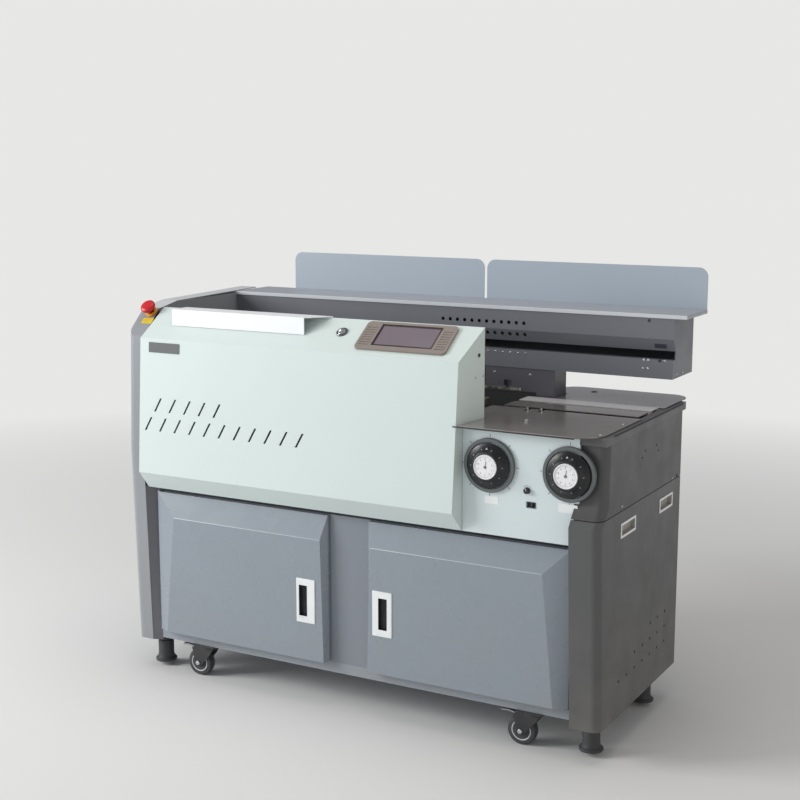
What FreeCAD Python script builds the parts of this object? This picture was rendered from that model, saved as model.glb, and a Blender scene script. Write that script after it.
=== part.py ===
import FreeCAD, Part
import math
import operator
import os
from types import SimpleNamespace

import Sketcher
from FreeCAD import Placement, Rotation, Vector

# A floor-standing perfect binding machine. Every sub-part is drawn in machine coordinates:
# x runs to the right from the outer face of the left side panel, y runs to the back from the
# front-most line of the right side panel, z runs up from the floor. Millimetres and degrees.
# The names in FROM_RIGHT are measured to the left from the right end of the cabinet.

SIZES = dict(
    # cabinet and side panels
    cabinet_length=1400, cabinet_depth=584, sheet_wall=2.5, panel_bottom=90, frame_face=62,
    left_toe=50, left_flange=54, left_waist=32, left_return=26, right_toe=30, right_flange=76,
    knee_height=590, knee_front=0, jog_height=640, jog_front=42, right_stile=12,
    brow_front=46, brow_height=953, crown_front=118,
    crown_height=1022, crown_shoulder=200, shoulder_height=1037, panel_top=1045,
    outer_radius=22, seam_height=606, table_shelf=780, trough_wall_foot=860,
    # base frame, door frame and inner plates
    base_bottom=97, base_height=28, base_tube=40, deck_height=538, deck_wall=3, frame_wall=18,
    # doors
    door_left=84, door_spacing=122, door_bottom=128, door_top=522, door_skin=2,
    door_edge=8, plateau_front=34, bevel_height=64, hinge_bevel_top=66, hinge_bevel_foot=34,
    pull_bevel_top=14, pull_bevel_foot=5, door_return=20, hinge_setback=3.5, hinge_pin_radius=2.5,
    hinge_pin_length=14, hinge_gap=0.5, tongue_wall=2.5, pin_clearance=0.05,
    pull_width=57, pull_height=119, pull_middle=289, left_pull_inset=58, right_pull_inset=50,
    left_slot_shift=-11, right_slot_shift=1.5, pull_slot_width=25, pull_slot_height=83,
    pull_cup_depth=14, pull_rim=2, cup_wall=1.5,
    # front housing
    housing_left=69, housing_right=352, housing_corner=374, bevel_foot=33, bevel_line=587,
    housing_front=-7, fold_front=16, fold_height=953, housing_back=122, housing_top=1027,
    vent_pitch=48.5, vent_lean=20, vent_rise=37, vent_slot=6, vent_high=794, vent_low=741,
    vent_high_start=138, vent_low_start=107,
    # loading shelf
    shelf_left=144, shelf_front_end=834, shelf_back_end=786, shelf_front=60,
    shelf_top=1030, shelf_flange=44, shelf_wall=2,
    # screen and start button, measured along the incline
    screen_left=670, screen_width=255, screen_foot=18, screen_depth=102, screen_height=6,
    glass_left=626, glass_width=171, glass_foot=32, glass_depth=80, screen_box_depth=34,
    button_place=731, button_slope=76, button_radius=11, button_ring=14.5, button_rise=4,
    # wheel panel and hand wheels
    panel_right=65, wheel_panel_front=33, wheel_drop=94, first_wheel=293,
    second_wheel=88, ring_outer=66.5, ring_inner=57, ring_depth=8, wheel_radius=55,
    wheel_front=7, wheel_depth=20, dial_radius=30, dial_depth=5, spindle_radius=8,
    bush_wall=3, selector_place=195, selector_height=658, selector_radius=8,
    # emergency stop, measured on the chamfer of the left panel
    stop_place=38, stop_slope=84, collar_radius=17, collar_height=7, stop_stem_radius=9,
    stop_bush=3, stop_head_radius=21, stop_head_height=20, stop_travel=5,
    # beam, tray and back plates
    beam_left=58, beam_right=-4, beam_front=480, beam_back=640, beam_bottom=876,
    beam_fold=978, slot_top=946, slot_bottom=925, slot_recess=20,
    hole_pitch=22, hole_start=652, hole_radius=5, high_holes=997, low_holes=966, tray_right=-38, tray_front=477,
    tray_back=648, tray_top=1041, tray_lip=10, plate_top=1150, plate_left=156, plate_margin=2,
    plate_split=8, plate_corner=25,
    column_left=372, column_right=319, column_back=562, left_column=86, bracket_left=523,
    bracket_bottom=812, rail_radius=10, low_rail=902, high_rail=1002, rail_line=585,
    # cover table and nip
    table_top=803, table_wall=3, table_left=368, table_right=12, table_front=2,
    front_plate_back=300, rear_plate_front=472, table_back=690, table_corner=65,
    frame_left=348, frame_back=612, frame_bar=20, frame_side=22, book_line=412, nip_gap=20,
    nip_left=390, nip_right=28, jaw_wall=14, front_jaw_depth=70, jaw_foot=690,
    guide_radius=6, guide_drop=32, guide_left=340, guide_right=55, gauge_line=285,
    gauge_depth=14, gauge_stud=4, stud_rise=7,
    first_stud=310, second_stud=272, gauge_travel=12,
    # clamp carriage
    clamp_left=92, clamp_length=360, clamp_bottom=838, clamp_top=944, clamp_wall=26,
    clamp_open=30, carriage_length=220, bearing_radius=19, clamp_rod_radius=9,
    # milling and gluing stations
    mill_place=840, cutter_radius=85, cutter_top=799, cutter_wall=12, tooth_count=12,
    mill_motor_radius=62, mill_motor_height=170, mill_shaft_radius=12,
    tank_left=700, tank_right=500, tank_front=345, tank_back=468, tank_bottom=712,
    tank_top=792, tank_wall=5, roller_radius=32, roller_length=90, roller_height=771,
    first_roller=648, second_roller=562, roller_shaft=9,
    # drive motor, electrics and bin
    drive_motor_place=240, box_left=130, box_width=300, box_front=330, box_height=330,
    bin_left=600, bin_width=420, bin_depth=380, bin_height=260, bin_front=130, bin_wall=3,
    # flush side pulls and side vents
    side_pull_width=102, side_pull_height=37, side_pull_middle=558, first_side_pull=193,
    second_side_pull=471, side_pull_depth=12, side_vent_pitch=56, side_vent_rise=41,
    side_vent_foot=180, side_vent_start=154, side_vent_radius=4,
    # casters and levelling feet
    wheel_size=75, tread_width=25, caster_trail=30, caster_inset=192, caster_front=91,
    caster_back=500, caster_plate=70, fork_gap=3, fork_wall=3, axle_radius=4,
    foot_inset=50, foot_front=112, foot_back=478, foot_radius=30, foot_neck=22,
    foot_clearance=12, foot_height=18, neck_top=86, foot_stem=8,
)


class Size:
    """A length that knows its number and the sheet expression that gives it."""

    def __init__(self, number, text):
        self.number = number
        self.text = text

    def __add__(self, other):
        return combine(self, "+", other)

    def __radd__(self, other):
        return combine(other, "+", self)

    def __sub__(self, other):
        return combine(self, "-", other)

    def __rsub__(self, other):
        return combine(other, "-", self)

    def __mul__(self, other):
        return combine(self, "*", other)

    def __rmul__(self, other):
        return combine(other, "*", self)

    def __truediv__(self, other):
        return combine(self, "/", other)

    def __neg__(self):
        return combine(0, "-", self)


SIGNS = {"+": operator.add, "-": operator.sub, "*": operator.mul, "/": operator.truediv}


def as_size(amount):
    return amount if isinstance(amount, Size) else Size(float(amount), f"({float(amount)})")


def combine(left, sign, right):
    left, right = as_size(left), as_size(right)
    return Size(SIGNS[sign](left.number, right.number), f"({left.text} {sign} {right.text})")


def slope(rise, run):
    """The angle, in degrees, of a line that rises by one length over another."""
    rise, run = as_size(rise), as_size(run)
    return Size(math.degrees(math.atan2(rise.number, run.number)), f"atan2({rise.text}; {run.text})")


doc = FreeCAD.newDocument("binding_machine")
sheet = doc.addObject("Spreadsheet::Sheet", "Sizes")
d = SimpleNamespace()
for line, (name, number) in enumerate(SIZES.items(), start=1):
    sheet.set(f"A{line}", name.replace("_", " "))
    sheet.set(f"B{line}", str(number))
    sheet.setAlias(f"B{line}", name)
    setattr(d, name, Size(number, f"Sizes.{name}"))
doc.recompute()

FROM_RIGHT = (
    "housing_right", "housing_corner", "screen_left", "glass_left", "button_place", "shelf_front_end",
    "shelf_back_end", "panel_right", "first_wheel", "second_wheel", "selector_place", "beam_right",
    "tray_right", "column_left", "column_right", "bracket_left", "table_left", "table_right",
    "frame_left", "nip_left", "nip_right", "guide_left", "guide_right", "first_stud", "second_stud",
    "mill_place", "tank_left", "tank_right", "first_roller", "second_roller", "bin_left", "hole_start",
)
for name in FROM_RIGHT:
    setattr(d, name, d.cabinet_length - getattr(d, name))
doors_right = d.cabinet_length - d.right_flange - d.right_stile
d.door_width = (doors_right - d.door_left - d.door_spacing) / 2
d.plate_length = (d.tray_right - d.plate_left - d.plate_split - d.plate_margin) / 2

MIDDLE_X = d.tray_right / 2
MIDDLE_Y = (d.table_back + d.housing_front) / 2
EPS = 0.01


# ---------------------------------------------------------------- drawing helpers

def bind(thing, path, amount):
    """Tie one property of a document object to the sheet."""
    thing.setExpression(path, as_size(amount).text)


def put(thing, x=0, y=0, z=0):
    for axis, amount in zip("xyz", (x, y, z)):
        bind(thing, f"Placement.Base.{axis}", amount)
    return thing


def box(x, y, z):
    """A block; x, y and z each hold a low and a high face."""
    thing = doc.addObject("Part::Box", "Block")
    for prop, (low, high) in zip(("Length", "Width", "Height"), (x, y, z)):
        bind(thing, prop, as_size(high) - low)
    return put(thing, x[0], y[0], z[0])


ALONG = {"x": Rotation(Vector(0, 1, 0), 90), "y": Rotation(Vector(1, 0, 0), -90), "z": Rotation()}


def rod(axis, centre, span, radius):
    """A round bar along an axis; centre gives its place on the other two, in x, y, z order."""
    thing = doc.addObject("Part::Cylinder", "Rod")
    thing.Placement = Placement(Vector(), ALONG[axis])
    bind(thing, "Radius", radius)
    bind(thing, "Height", as_size(span[1]) - span[0])
    place = dict(zip([a for a in "xyz" if a != axis], centre))
    place[axis] = span[0]
    return put(thing, **place)


def fuse(*things):
    if len(things) == 1:
        return things[0]
    thing = doc.addObject("Part::MultiFuse", "Fusion")
    thing.Shapes = list(things)
    return thing


def cut(base, *tools):
    thing = doc.addObject("Part::Cut", "Cut")
    thing.Base = base
    thing.Tool = fuse(*tools)
    return thing


def group(*things):
    """Several separate solids that are kept as one sub-part."""
    thing = doc.addObject("Part::Compound", "Group")
    thing.Links = list(things)
    return thing


def tube(axis, centre, span, outer, inner):
    return cut(rod(axis, centre, span, outer), rod(axis, centre, (span[0] - as_size(1), as_size(span[1]) + 1), inner))


PLANES = {"x": "YZ_Plane", "y": "XZ_Plane", "z": "XY_Plane"}


def new_body(name):
    return doc.addObject("PartDesign::Body", name)


def tie(sketch, kind, geometry, point, amount):
    """Hold one point of the sketch at a distance from its origin."""
    number = as_size(amount).number
    index = sketch.addConstraint(Sketcher.Constraint(kind, -1, 1, geometry, point, number))
    bind(sketch, f"Constraints[{index}]", amount)


def draw(sketch, shape):
    """Add a closed outline (a list of corners) or a circle (u, v, radius) to a sketch.

    A corner with a third value starts a quarter arc of that radius instead of a straight side.
    """
    first = sketch.GeometryCount
    if isinstance(shape, tuple):
        u, v, radius = (as_size(amount) for amount in shape)
        sketch.addGeometry(Part.Circle(Vector(u.number, v.number, 0), Vector(0, 0, 1), radius.number), False)
        tie(sketch, "DistanceX", first, 3, u)
        tie(sketch, "DistanceY", first, 3, v)
        index = sketch.addConstraint(Sketcher.Constraint("Radius", first, radius.number))
        bind(sketch, f"Constraints[{index}]", radius)
        return
    corners = [tuple(as_size(amount) for amount in corner) for corner in shape]
    points = [Vector(corner[0].number, corner[1].number, 0) for corner in corners]
    count = len(points)
    for k, corner in enumerate(corners):
        start, end = points[k], points[(k + 1) % count]
        if len(corner) == 2:
            sketch.addGeometry(Part.LineSegment(start, end), False)
            continue
        centre = Vector(start.x, end.y, 0)
        middle = centre + (start + end - centre * 2).normalize() * corner[2].number
        sketch.addGeometry(Part.Arc(start, middle, end), False)
    for k, corner in enumerate(corners):
        is_arc = len(corner) == 3
        follows_arc = len(corners[k - 1]) == 3
        if not follows_arc and not is_arc:
            other = (first + (k - 1) % count, 2)
            sketch.addConstraint(Sketcher.Constraint("Coincident", *other, first + k, 1))
        elif is_arc:
            arc_start = 1 if (sketch.getPoint(first + k, 1) - points[k]).Length < EPS else 2
            sketch.addConstraint(Sketcher.Constraint("Coincident", first + (k - 1) % count, 2,
                                                     first + k, arc_start))
            sketch.addConstraint(Sketcher.Constraint("Coincident", first + (k + 1) % count, 1,
                                                     first + k, 3 - arc_start))
            index = sketch.addConstraint(Sketcher.Constraint("Radius", first + k, corner[2].number))
            bind(sketch, f"Constraints[{index}]", corner[2])
            tie(sketch, "DistanceX", (first + k - 1), 2, corner[0])
            tie(sketch, "DistanceY", (first + k - 1), 2, corner[1])
            continue
        tie(sketch, "DistanceX", first + k, 1, corner[0])
        tie(sketch, "DistanceY", first + k, 1, corner[1])


def sketch_on(body, axis, at, *shapes):
    """A sketch square to an axis of its body, with its outlines in the other two axes."""
    sketch = body.newObject("Sketcher::SketchObject", "Sketch")
    plane = [part for part in body.Origin.OriginFeatures if part.Role == PLANES[axis]][0]
    sketch.AttachmentSupport = (plane, "")
    sketch.MapMode = "FlatFace"
    bind(sketch, "AttachmentOffset.Base.z", -as_size(at) if axis == "y" else at)
    for shape in shapes:
        draw(sketch, shape)
    return sketch


def pad(body, axis, span, *shapes):
    feature = body.newObject("PartDesign::Pad", "Pad")
    feature.Profile = sketch_on(body, axis, span[0], *shapes)
    feature.Reversed = axis == "y"
    bind(feature, "Length", as_size(span[1]) - span[0])
    body.Tip = feature
    return feature


pockets = []


def pocket(body, axis, span, *shapes):
    feature = body.newObject("PartDesign::Pocket", "Pocket")
    feature.Profile = sketch_on(body, axis, span[0], *shapes)
    feature.Reversed = axis != "y"
    bind(feature, "Length", as_size(span[1]) - span[0])
    body.Tip = feature
    pockets.append(feature)
    return feature


def revolve(body, *profile):
    """A solid of revolution about the body's z axis; the profile is in radius and height."""
    feature = body.newObject("PartDesign::Revolution", "Revolution")
    sketch = sketch_on(body, "y", 0, list(profile))
    feature.Profile = sketch
    feature.ReferenceAxis = (sketch, ["V_Axis"])
    feature.Angle = 360
    body.Tip = feature
    return feature


def repeat(body, feature, direction, count, length):
    """Repeat a feature in a row along one of its sketch's axes."""
    pattern = body.newObject("PartDesign::LinearPattern", "Row")
    pattern.Originals = [feature]
    pattern.Direction = (feature.Profile[0], [direction])
    pattern.Occurrences = count
    bind(pattern, "Length", length)
    body.Tip = pattern
    return pattern


def loft(body, axis, *stations):
    """A ruled loft through outlines; each station is (place on the axis, outline)."""
    feature = body.newObject("PartDesign::AdditiveLoft", "Loft")
    sketches = [sketch_on(body, axis, at, outline) for at, outline in stations]
    feature.Profile = sketches[0]
    feature.Sections = sketches[1:]
    feature.Ruled = True
    body.Tip = feature
    return feature


def soften(body, radius, chosen, kind="Fillet"):
    """Round or chamfer the edges of the body's tip that a test picks."""
    doc.recompute()
    base = body.Tip
    names = [f"Edge{k}" for k, edge in enumerate(base.Shape.Edges, start=1) if chosen(edge)]
    feature = body.newObject(f"PartDesign::{kind}", kind)
    feature.Base = (base, names)
    bind(feature, "Radius" if kind == "Fillet" else "Size", radius)
    body.Tip = feature
    return feature


def shell(body, wall, opened):
    """Hollow the body to a wall, leaving out the faces that a test picks."""
    doc.recompute()
    base = body.Tip
    names = [f"Face{k}" for k, face in enumerate(base.Shape.Faces, start=1) if opened(face)]
    feature = body.newObject("PartDesign::Thickness", "Shell")
    feature.Base = (base, names)
    feature.Reversed = True
    feature.Join = "Intersection"
    bind(feature, "Value", wall)
    body.Tip = feature
    return feature


def along(edge, axis):
    """True for a straight edge that runs along one axis."""
    direction = edge.Vertexes[-1].Point - edge.Vertexes[0].Point
    others = [a for a in "xyz" if a != axis]
    return all(abs(getattr(direction, a)) < EPS for a in others)


def rim(thing, axis, low):
    """The lowest or highest place of a shape along an axis."""
    bounds = thing.Shape.BoundBox
    return getattr(bounds, f"{axis.upper()}{'Min' if low else 'Max'}")


nodes = []


def node(label, thing, frame=None):
    """Name a sub-part and seat it in the part's frame, whose origin is under the middle."""
    x, y, z, tilt = frame or (0, 0, 0, None)
    if thing.TypeId.startswith("Part::") and thing.TypeId not in ("Part::Cut", "Part::MultiFuse",
                                                                  "Part::Compound"):
        thing = group(thing)
    thing.Label = label
    if tilt is not None:
        thing.Placement = Placement(Vector(), Rotation(Vector(1, 0, 0), tilt.number))
        bind(thing, "Placement.Rotation.Angle", tilt)
    put(thing, x - MIDDLE_X, y - MIDDLE_Y, z)
    nodes.append(thing)
    return thing


def tilted(thing, frame):
    """Stand a tool in a tilted frame, to cut a piece that is drawn in machine coordinates."""
    x, y, z, tilt = frame
    carrier = group(thing)
    carrier.Placement = Placement(Vector(), Rotation(Vector(1, 0, 0), tilt.number))
    bind(carrier, "Placement.Rotation.Angle", tilt)
    return put(carrier, x, y, z)


# Two sloping faces carry controls: x stays along the machine, y runs up the slope, z stands off it.
incline = (0, d.fold_front, d.fold_height,
           slope(d.housing_top - d.fold_height, d.housing_back - d.fold_front))
chamfer = (0, d.brow_front, d.brow_height,
           slope(d.crown_height - d.brow_height, d.crown_front - d.brow_front))


# ---------------------------------------------------------------- side panels

def share(low, high, part, whole):
    """The value a given way along a straight change from low to high."""
    return low + (high - low) * part / whole


def left_front(height):
    return share(d.left_toe, d.left_waist, height - d.panel_bottom, d.jog_height - d.panel_bottom)


def right_front(height):
    return share(d.right_toe, d.knee_front, height - d.panel_bottom, d.knee_height - d.panel_bottom)


def in_plane(face, axis, place):
    bounds = face.BoundBox
    low, high = (getattr(bounds, f"{axis.upper()}{side}") for side in ("Min", "Max"))
    return abs(low - place) < EPS and abs(high - place) < EPS


def rounded_prism(name, span, face, back, radius, outline):
    """A prism along x whose outer face is rounded into its front and top."""
    prism = new_body(name)
    pad(prism, "x", span, outline)

    def chosen(edge):
        ends = [vertex.Point for vertex in edge.Vertexes]
        outside = all(abs(end.x - face.number) < EPS for end in ends)
        level = abs(ends[0].z - ends[1].z) < EPS
        return outside and not level and not all(abs(end.y - back.number) < EPS for end in ends)

    soften(prism, radius, chosen)
    return prism


def loft_return(name, x, front, far_x):
    """The narrow sheet from a cover's front flange back to the door frame."""
    sheet_body = new_body(name)
    loft(sheet_body, "z", *[
        (height, [(x, front(height) + d.sheet_wall / 2), (x + d.sheet_wall, front(height) + d.sheet_wall / 2),
                  (far_x + d.sheet_wall, d.frame_face), (far_x, d.frame_face)])
        for height in (d.panel_bottom, d.deck_height)])
    return sheet_body


wall = d.sheet_wall
inner_radius = d.outer_radius - wall
open_back = d.cabinet_depth + 1

# Left side panel: one tall folded cover with a shoulder that carries the emergency stop.
def left_cover(name, inset):
    """The cover's outside, or with an inset its hollow: a rounded column under a folded top."""
    radius = d.outer_radius - inset
    over = as_size(1 if inset.number else 0)
    right, back, foot = d.left_flange + over, d.cabinet_depth + over, d.panel_bottom - over
    column_body = new_body(name)
    stations = ((foot, left_front(foot)), (d.jog_height, d.left_waist),
                (d.panel_top + 1, share(d.left_waist, d.brow_front, d.panel_top + 1 - d.jog_height,
                                        d.brow_height - d.jog_height)))
    loft(column_body, "z", *[
        (height, [(right, front + inset), (radius + inset, front + inset, radius),
                  (inset, front + inset + radius), (inset, back), (right, back)])
        for height, front in stations])
    top_body = new_body(f"{name}Top")
    reach = d.brow_front * 1.4
    drop = reach * (d.crown_height - d.brow_height) / (d.crown_front - d.brow_front)
    pad(top_body, "x", (inset, right), [
        (d.brow_front - reach, d.brow_height - drop - inset * 1.4), (d.crown_front, d.crown_height - inset * 1.2),
        (d.crown_shoulder, d.shoulder_height - inset), (back, d.panel_top - inset), (back, foot),
        (d.brow_front - reach, foot)])
    common = doc.addObject("Part::MultiCommon", name)
    common.Shapes = [column_body, top_body]
    return common


left_outer = left_cover("LeftOuter", as_size(0))
left_hollow = left_cover("LeftHollow", wall)
trough_wall = new_body("TroughWall")
pad(trough_wall, "x", (d.left_flange - wall, d.left_flange), [
    (d.crown_front + wall, d.crown_height - wall * 0.6), (d.crown_shoulder, d.shoulder_height - wall * 0.6),
    (d.beam_front, d.shoulder_height - wall * 0.6), (d.beam_front, d.trough_wall_foot),
    (d.crown_front + wall, d.trough_wall_foot)])
left_inner = d.left_flange - wall
stop_bore = rod("z", (d.stop_place, d.stop_slope), (-wall * 2, wall), d.stop_stem_radius + d.stop_bush + 0.05)
node("left_side_panel", fuse(cut(left_outer, left_hollow, tilted(stop_bore, chamfer)), trough_wall,
                             loft_return("LeftReturn", left_inner, left_front, left_inner + d.left_return)))

# Right side panel: a lower cover with a knee, two flush pulls and a corner of vent holes.
right_inner = d.cabinet_length - d.right_flange
right_span = (right_inner, d.cabinet_length)
hollow_span = (right_inner - 1, d.cabinet_length - wall)
hollow_face = d.cabinet_length - wall
seam_front = share(d.knee_front, d.jog_front, d.seam_height - d.knee_height,
                   d.jog_height - d.knee_height)
right_outer = rounded_prism("RightOuter", right_span, d.cabinet_length, d.cabinet_depth, d.outer_radius, [
    (d.right_toe, d.panel_bottom), (d.knee_front, d.knee_height), (seam_front, d.seam_height),
    (d.cabinet_depth, d.seam_height), (d.cabinet_depth, d.panel_bottom)])
skin = (d.cabinet_length - wall * 2, d.cabinet_length + 1)
for middle in (d.first_side_pull, d.second_side_pull):
    pocket(right_outer, "x", skin, [
        (middle + across * (d.side_pull_width / 2 - d.pull_rim * 2),
         d.side_pull_middle + up * (d.side_pull_height / 2 - d.pull_rim * 2))
        for across, up in ((-1, -1), (1, -1), (1, 1), (-1, 1))])
SIDE_VENT_ROWS = ((0, 7), (2, 7), (4, 7))
pocket(right_outer, "x", skin, *[
    (d.side_vent_start + d.side_vent_pitch * column, d.side_vent_foot + d.side_vent_rise * row,
     d.side_vent_radius)
    for row, (first, last) in enumerate(SIDE_VENT_ROWS) for column in range(first, last)])
right_hollow = rounded_prism("RightHollow", hollow_span, hollow_face, open_back, inner_radius, [
    (d.right_toe + wall, d.panel_bottom - 1), (d.knee_front + wall, d.knee_height),
    (seam_front + wall, d.seam_height + 1), (open_back, d.seam_height + 1), (open_back, d.panel_bottom - 1)])
node("right_side_panel", fuse(cut(right_outer, right_hollow),
                              loft_return("RightReturn", right_inner, right_front, right_inner)))

# The upper right cover carries on from the knee to the table frame.
upper_outer = rounded_prism("UpperOuter", right_span, d.cabinet_length, d.cabinet_depth, d.outer_radius, [
    (seam_front, d.seam_height), (d.jog_front, d.jog_height), (d.brow_front, d.table_shelf),
    (d.cabinet_depth, d.table_shelf), (d.cabinet_depth, d.seam_height)])
SIDE_HOLES = ((300, 725), (281, 711), (384, 725), (400, 708))
pocket(upper_outer, "x", skin, *[(across, up, 3) for across, up in SIDE_HOLES])
upper_hollow = rounded_prism("UpperHollow", hollow_span, hollow_face, open_back, inner_radius, [
    (seam_front + wall, d.seam_height - 1), (d.jog_front + wall, d.jog_height),
    (d.brow_front + wall, d.table_shelf + 1), (open_back, d.table_shelf + 1), (open_back, d.seam_height - 1)])
node("right_upper_panel", cut(upper_outer, upper_hollow))

# Rear panel with two fields of louvre slots; it stops under the beam.
rear_panel = new_body("RearPanel")
rear_face = d.cabinet_depth - d.sheet_wall
pad(rear_panel, "y", (rear_face, d.cabinet_depth), [
    (d.sheet_wall, d.base_bottom), (d.cabinet_length - d.sheet_wall, d.base_bottom),
    (d.cabinet_length - d.sheet_wall, d.table_shelf), (d.column_left, d.table_shelf),
    (d.column_left, d.beam_bottom), (d.sheet_wall, d.beam_bottom)])
louvre_length, louvre_height, louvre_pitch = 220, 6, 24
for start in (d.box_left, d.column_left):
    louvre = pocket(rear_panel, "y", (rear_face - 1, d.cabinet_depth + 1), [
        (start, d.side_vent_foot), (start + louvre_length, d.side_vent_foot),
        (start + louvre_length, d.side_vent_foot + louvre_height),
        (start, d.side_vent_foot + louvre_height)])
    repeat(rear_panel, louvre, "V_Axis", 8, as_size(louvre_pitch * 7))
node("rear_panel", rear_panel)

# ---------------------------------------------------------------- frame and inner plates

base_top = d.base_bottom + d.base_height
inner_left = d.left_flange + d.left_return
foot_places = [(x, y) for x in (d.foot_inset, d.cabinet_length - d.foot_inset)
               for y in (d.foot_front, d.foot_back)]
caster_places = [(x, y) for x in (d.caster_inset + d.caster_trail,
                                  d.cabinet_length - d.caster_inset)
                 for y in (d.caster_front, d.caster_back)]


def base_beam(x, y):
    return box(x, y, (d.base_bottom, base_top))


side_rails = [base_beam((middle - d.base_tube / 2, middle + d.base_tube / 2), (d.frame_face + 4, rear_face))
              for middle in (d.foot_inset, d.cabinet_length - d.foot_inset)]
cross_span = (d.foot_inset, d.cabinet_length - d.foot_inset)
front_strip = base_beam((inner_left, right_inner), (d.frame_face, d.frame_face + d.base_tube))
rear_strip = base_beam(cross_span, (rear_face - d.base_tube, rear_face))
caster_rails = [base_beam((x - d.caster_plate / 2, x + d.caster_plate / 2), (d.frame_face + 4, rear_face))
                for x in sorted({id(place[0]): place[0] for place in caster_places}.values(),
                                key=lambda place: place.number)]
floor_plate = box((d.foot_inset, d.cabinet_length - d.foot_inset),
                  (d.frame_face + d.frame_wall, rear_face), (base_top - d.deck_wall, base_top))
front_links = [base_beam((d.foot_inset, inner_left + d.base_tube), (d.frame_face + 4, d.frame_face + d.base_tube)),
               base_beam((right_inner - d.base_tube, d.cabinet_length - d.foot_inset),
                         (d.frame_face + 4, d.frame_face + d.base_tube))]
foot_bores = [rod("z", place, (d.base_bottom - 1, base_top + 1), d.foot_stem + d.pin_clearance)
              for place in foot_places]
node("base_frame", cut(fuse(*side_rails, front_strip, rear_strip, *caster_rails, floor_plate,
                            *front_links), *foot_bores))

# Face frame behind the two doors: stiles, a broad centre post and a top rail.
door_lip = 20
door_lefts = (d.door_left, doors_right - d.door_width)
frame = new_body("DoorFrame")
pad(frame, "y", (d.frame_face, d.frame_face + d.frame_wall), [
    (inner_left, base_top), (right_inner, base_top), (right_inner, d.deck_height),
    (inner_left, d.deck_height)])
for left in door_lefts:
    pocket(frame, "y", (d.frame_face - 1, d.frame_face + d.frame_wall + 1), [
        (left + door_lip, d.door_bottom + door_lip),
        (left + d.door_width - door_lip, d.door_bottom + door_lip),
        (left + d.door_width - door_lip, d.door_top - door_lip),
        (left + door_lip, d.door_top - door_lip)])
door_back = d.frame_face - d.pull_rim
hinge_line = door_back - d.hinge_setback
door_hinges = (door_lefts[0], door_lefts[1] + d.door_width)
hinge_axes = (door_hinges[0] + d.hinge_setback, door_hinges[1] - d.hinge_setback)
tongues = []
for axis_x in hinge_axes:
    for stop, away in ((d.door_bottom, -1), (d.door_top, 1)):
        face = stop + d.hinge_gap * away
        plate = sorted((face, face + d.tongue_wall * away), key=lambda end: end.number)
        pin = sorted((face, face - d.hinge_pin_length * away), key=lambda end: end.number)
        tongues.append(box((axis_x - d.hinge_setback * 1.5, axis_x + d.hinge_setback * 1.5),
                           (hinge_line - d.hinge_setback * 1.5, d.frame_face + d.frame_wall / 2), plate))
        tongues.append(rod("z", (axis_x, hinge_line), pin, d.hinge_pin_radius))
node("door_frame", fuse(frame, *tongues))

# The machine deck carries the working stations and is the ceiling of the cupboards.
deck_front = d.wheel_panel_front + d.sheet_wall
deck_lip = d.frame_face + d.frame_wall
deck_face = (d.deck_height, d.deck_height + d.deck_wall)
deck = new_body("Deck")
pad(deck, "z", deck_face, [
    (d.sheet_wall, deck_lip), (inner_left, deck_lip), (inner_left, deck_front),
    (right_inner, deck_front), (right_inner, deck_lip), (d.cabinet_length - d.sheet_wall, deck_lip),
    (d.cabinet_length - d.sheet_wall, rear_face), (d.sheet_wall, rear_face)])
node("machine_deck", deck)
deck_top = d.deck_height + d.deck_wall

# ---------------------------------------------------------------- front housing

housing = new_body("Housing")
pad(housing, "x", (d.housing_left, d.housing_right), [
    (d.bevel_foot, d.deck_height), (d.housing_front, d.bevel_line), (d.fold_front, d.fold_height),
    (d.housing_back, d.housing_top), (d.housing_back, d.deck_height)])
pocket(housing, "z", (d.deck_height - 1, d.housing_top + 1), [
    (d.housing_corner, d.housing_front), (d.housing_right, d.housing_back),
    (d.housing_right + 1, d.housing_back), (d.housing_right + 1, d.housing_front - 1),
    (d.housing_corner, d.housing_front - 1)])
shell(housing, d.sheet_wall, lambda face: in_plane(face, "x", d.housing_left.number)
      or in_plane(face, "y", d.housing_back.number) or in_plane(face, "z", d.deck_height.number))
for start, top, count in ((d.vent_high_start, d.vent_high, 5), (d.vent_low_start, d.vent_low, 11)):
    foot = start - d.vent_lean
    vent = pocket(housing, "y", (d.housing_front - 5, d.fold_front + 10), [
        (foot, top - d.vent_rise), (foot + d.vent_slot, top - d.vent_rise),
        (start + d.vent_slot, top), (start, top)])
    repeat(housing, vent, "H_Axis", count, d.vent_pitch * (count - 1))
glass_x = (d.glass_left, d.glass_left + d.glass_width)
glass_y = (d.glass_foot, d.glass_foot + d.glass_depth)
screen_hole = box(glass_x, glass_y, (-10, 10))
button_at = (d.button_place, d.button_slope)
button_hole = rod("z", button_at, (-10, 10), d.button_radius + d.pin_clearance)
button_collar = rod("z", button_at, (-wall, d.button_rise - 1), d.button_ring)
deck_seat = box((d.housing_left - 1, d.housing_right + 1), (deck_front, d.housing_back + 1),
                (d.deck_height - 1, deck_top))
node("front_housing", cut(fuse(housing, tilted(button_collar, incline)), deck_seat,
                          tilted(fuse(screen_hole, button_hole), incline)))

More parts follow.
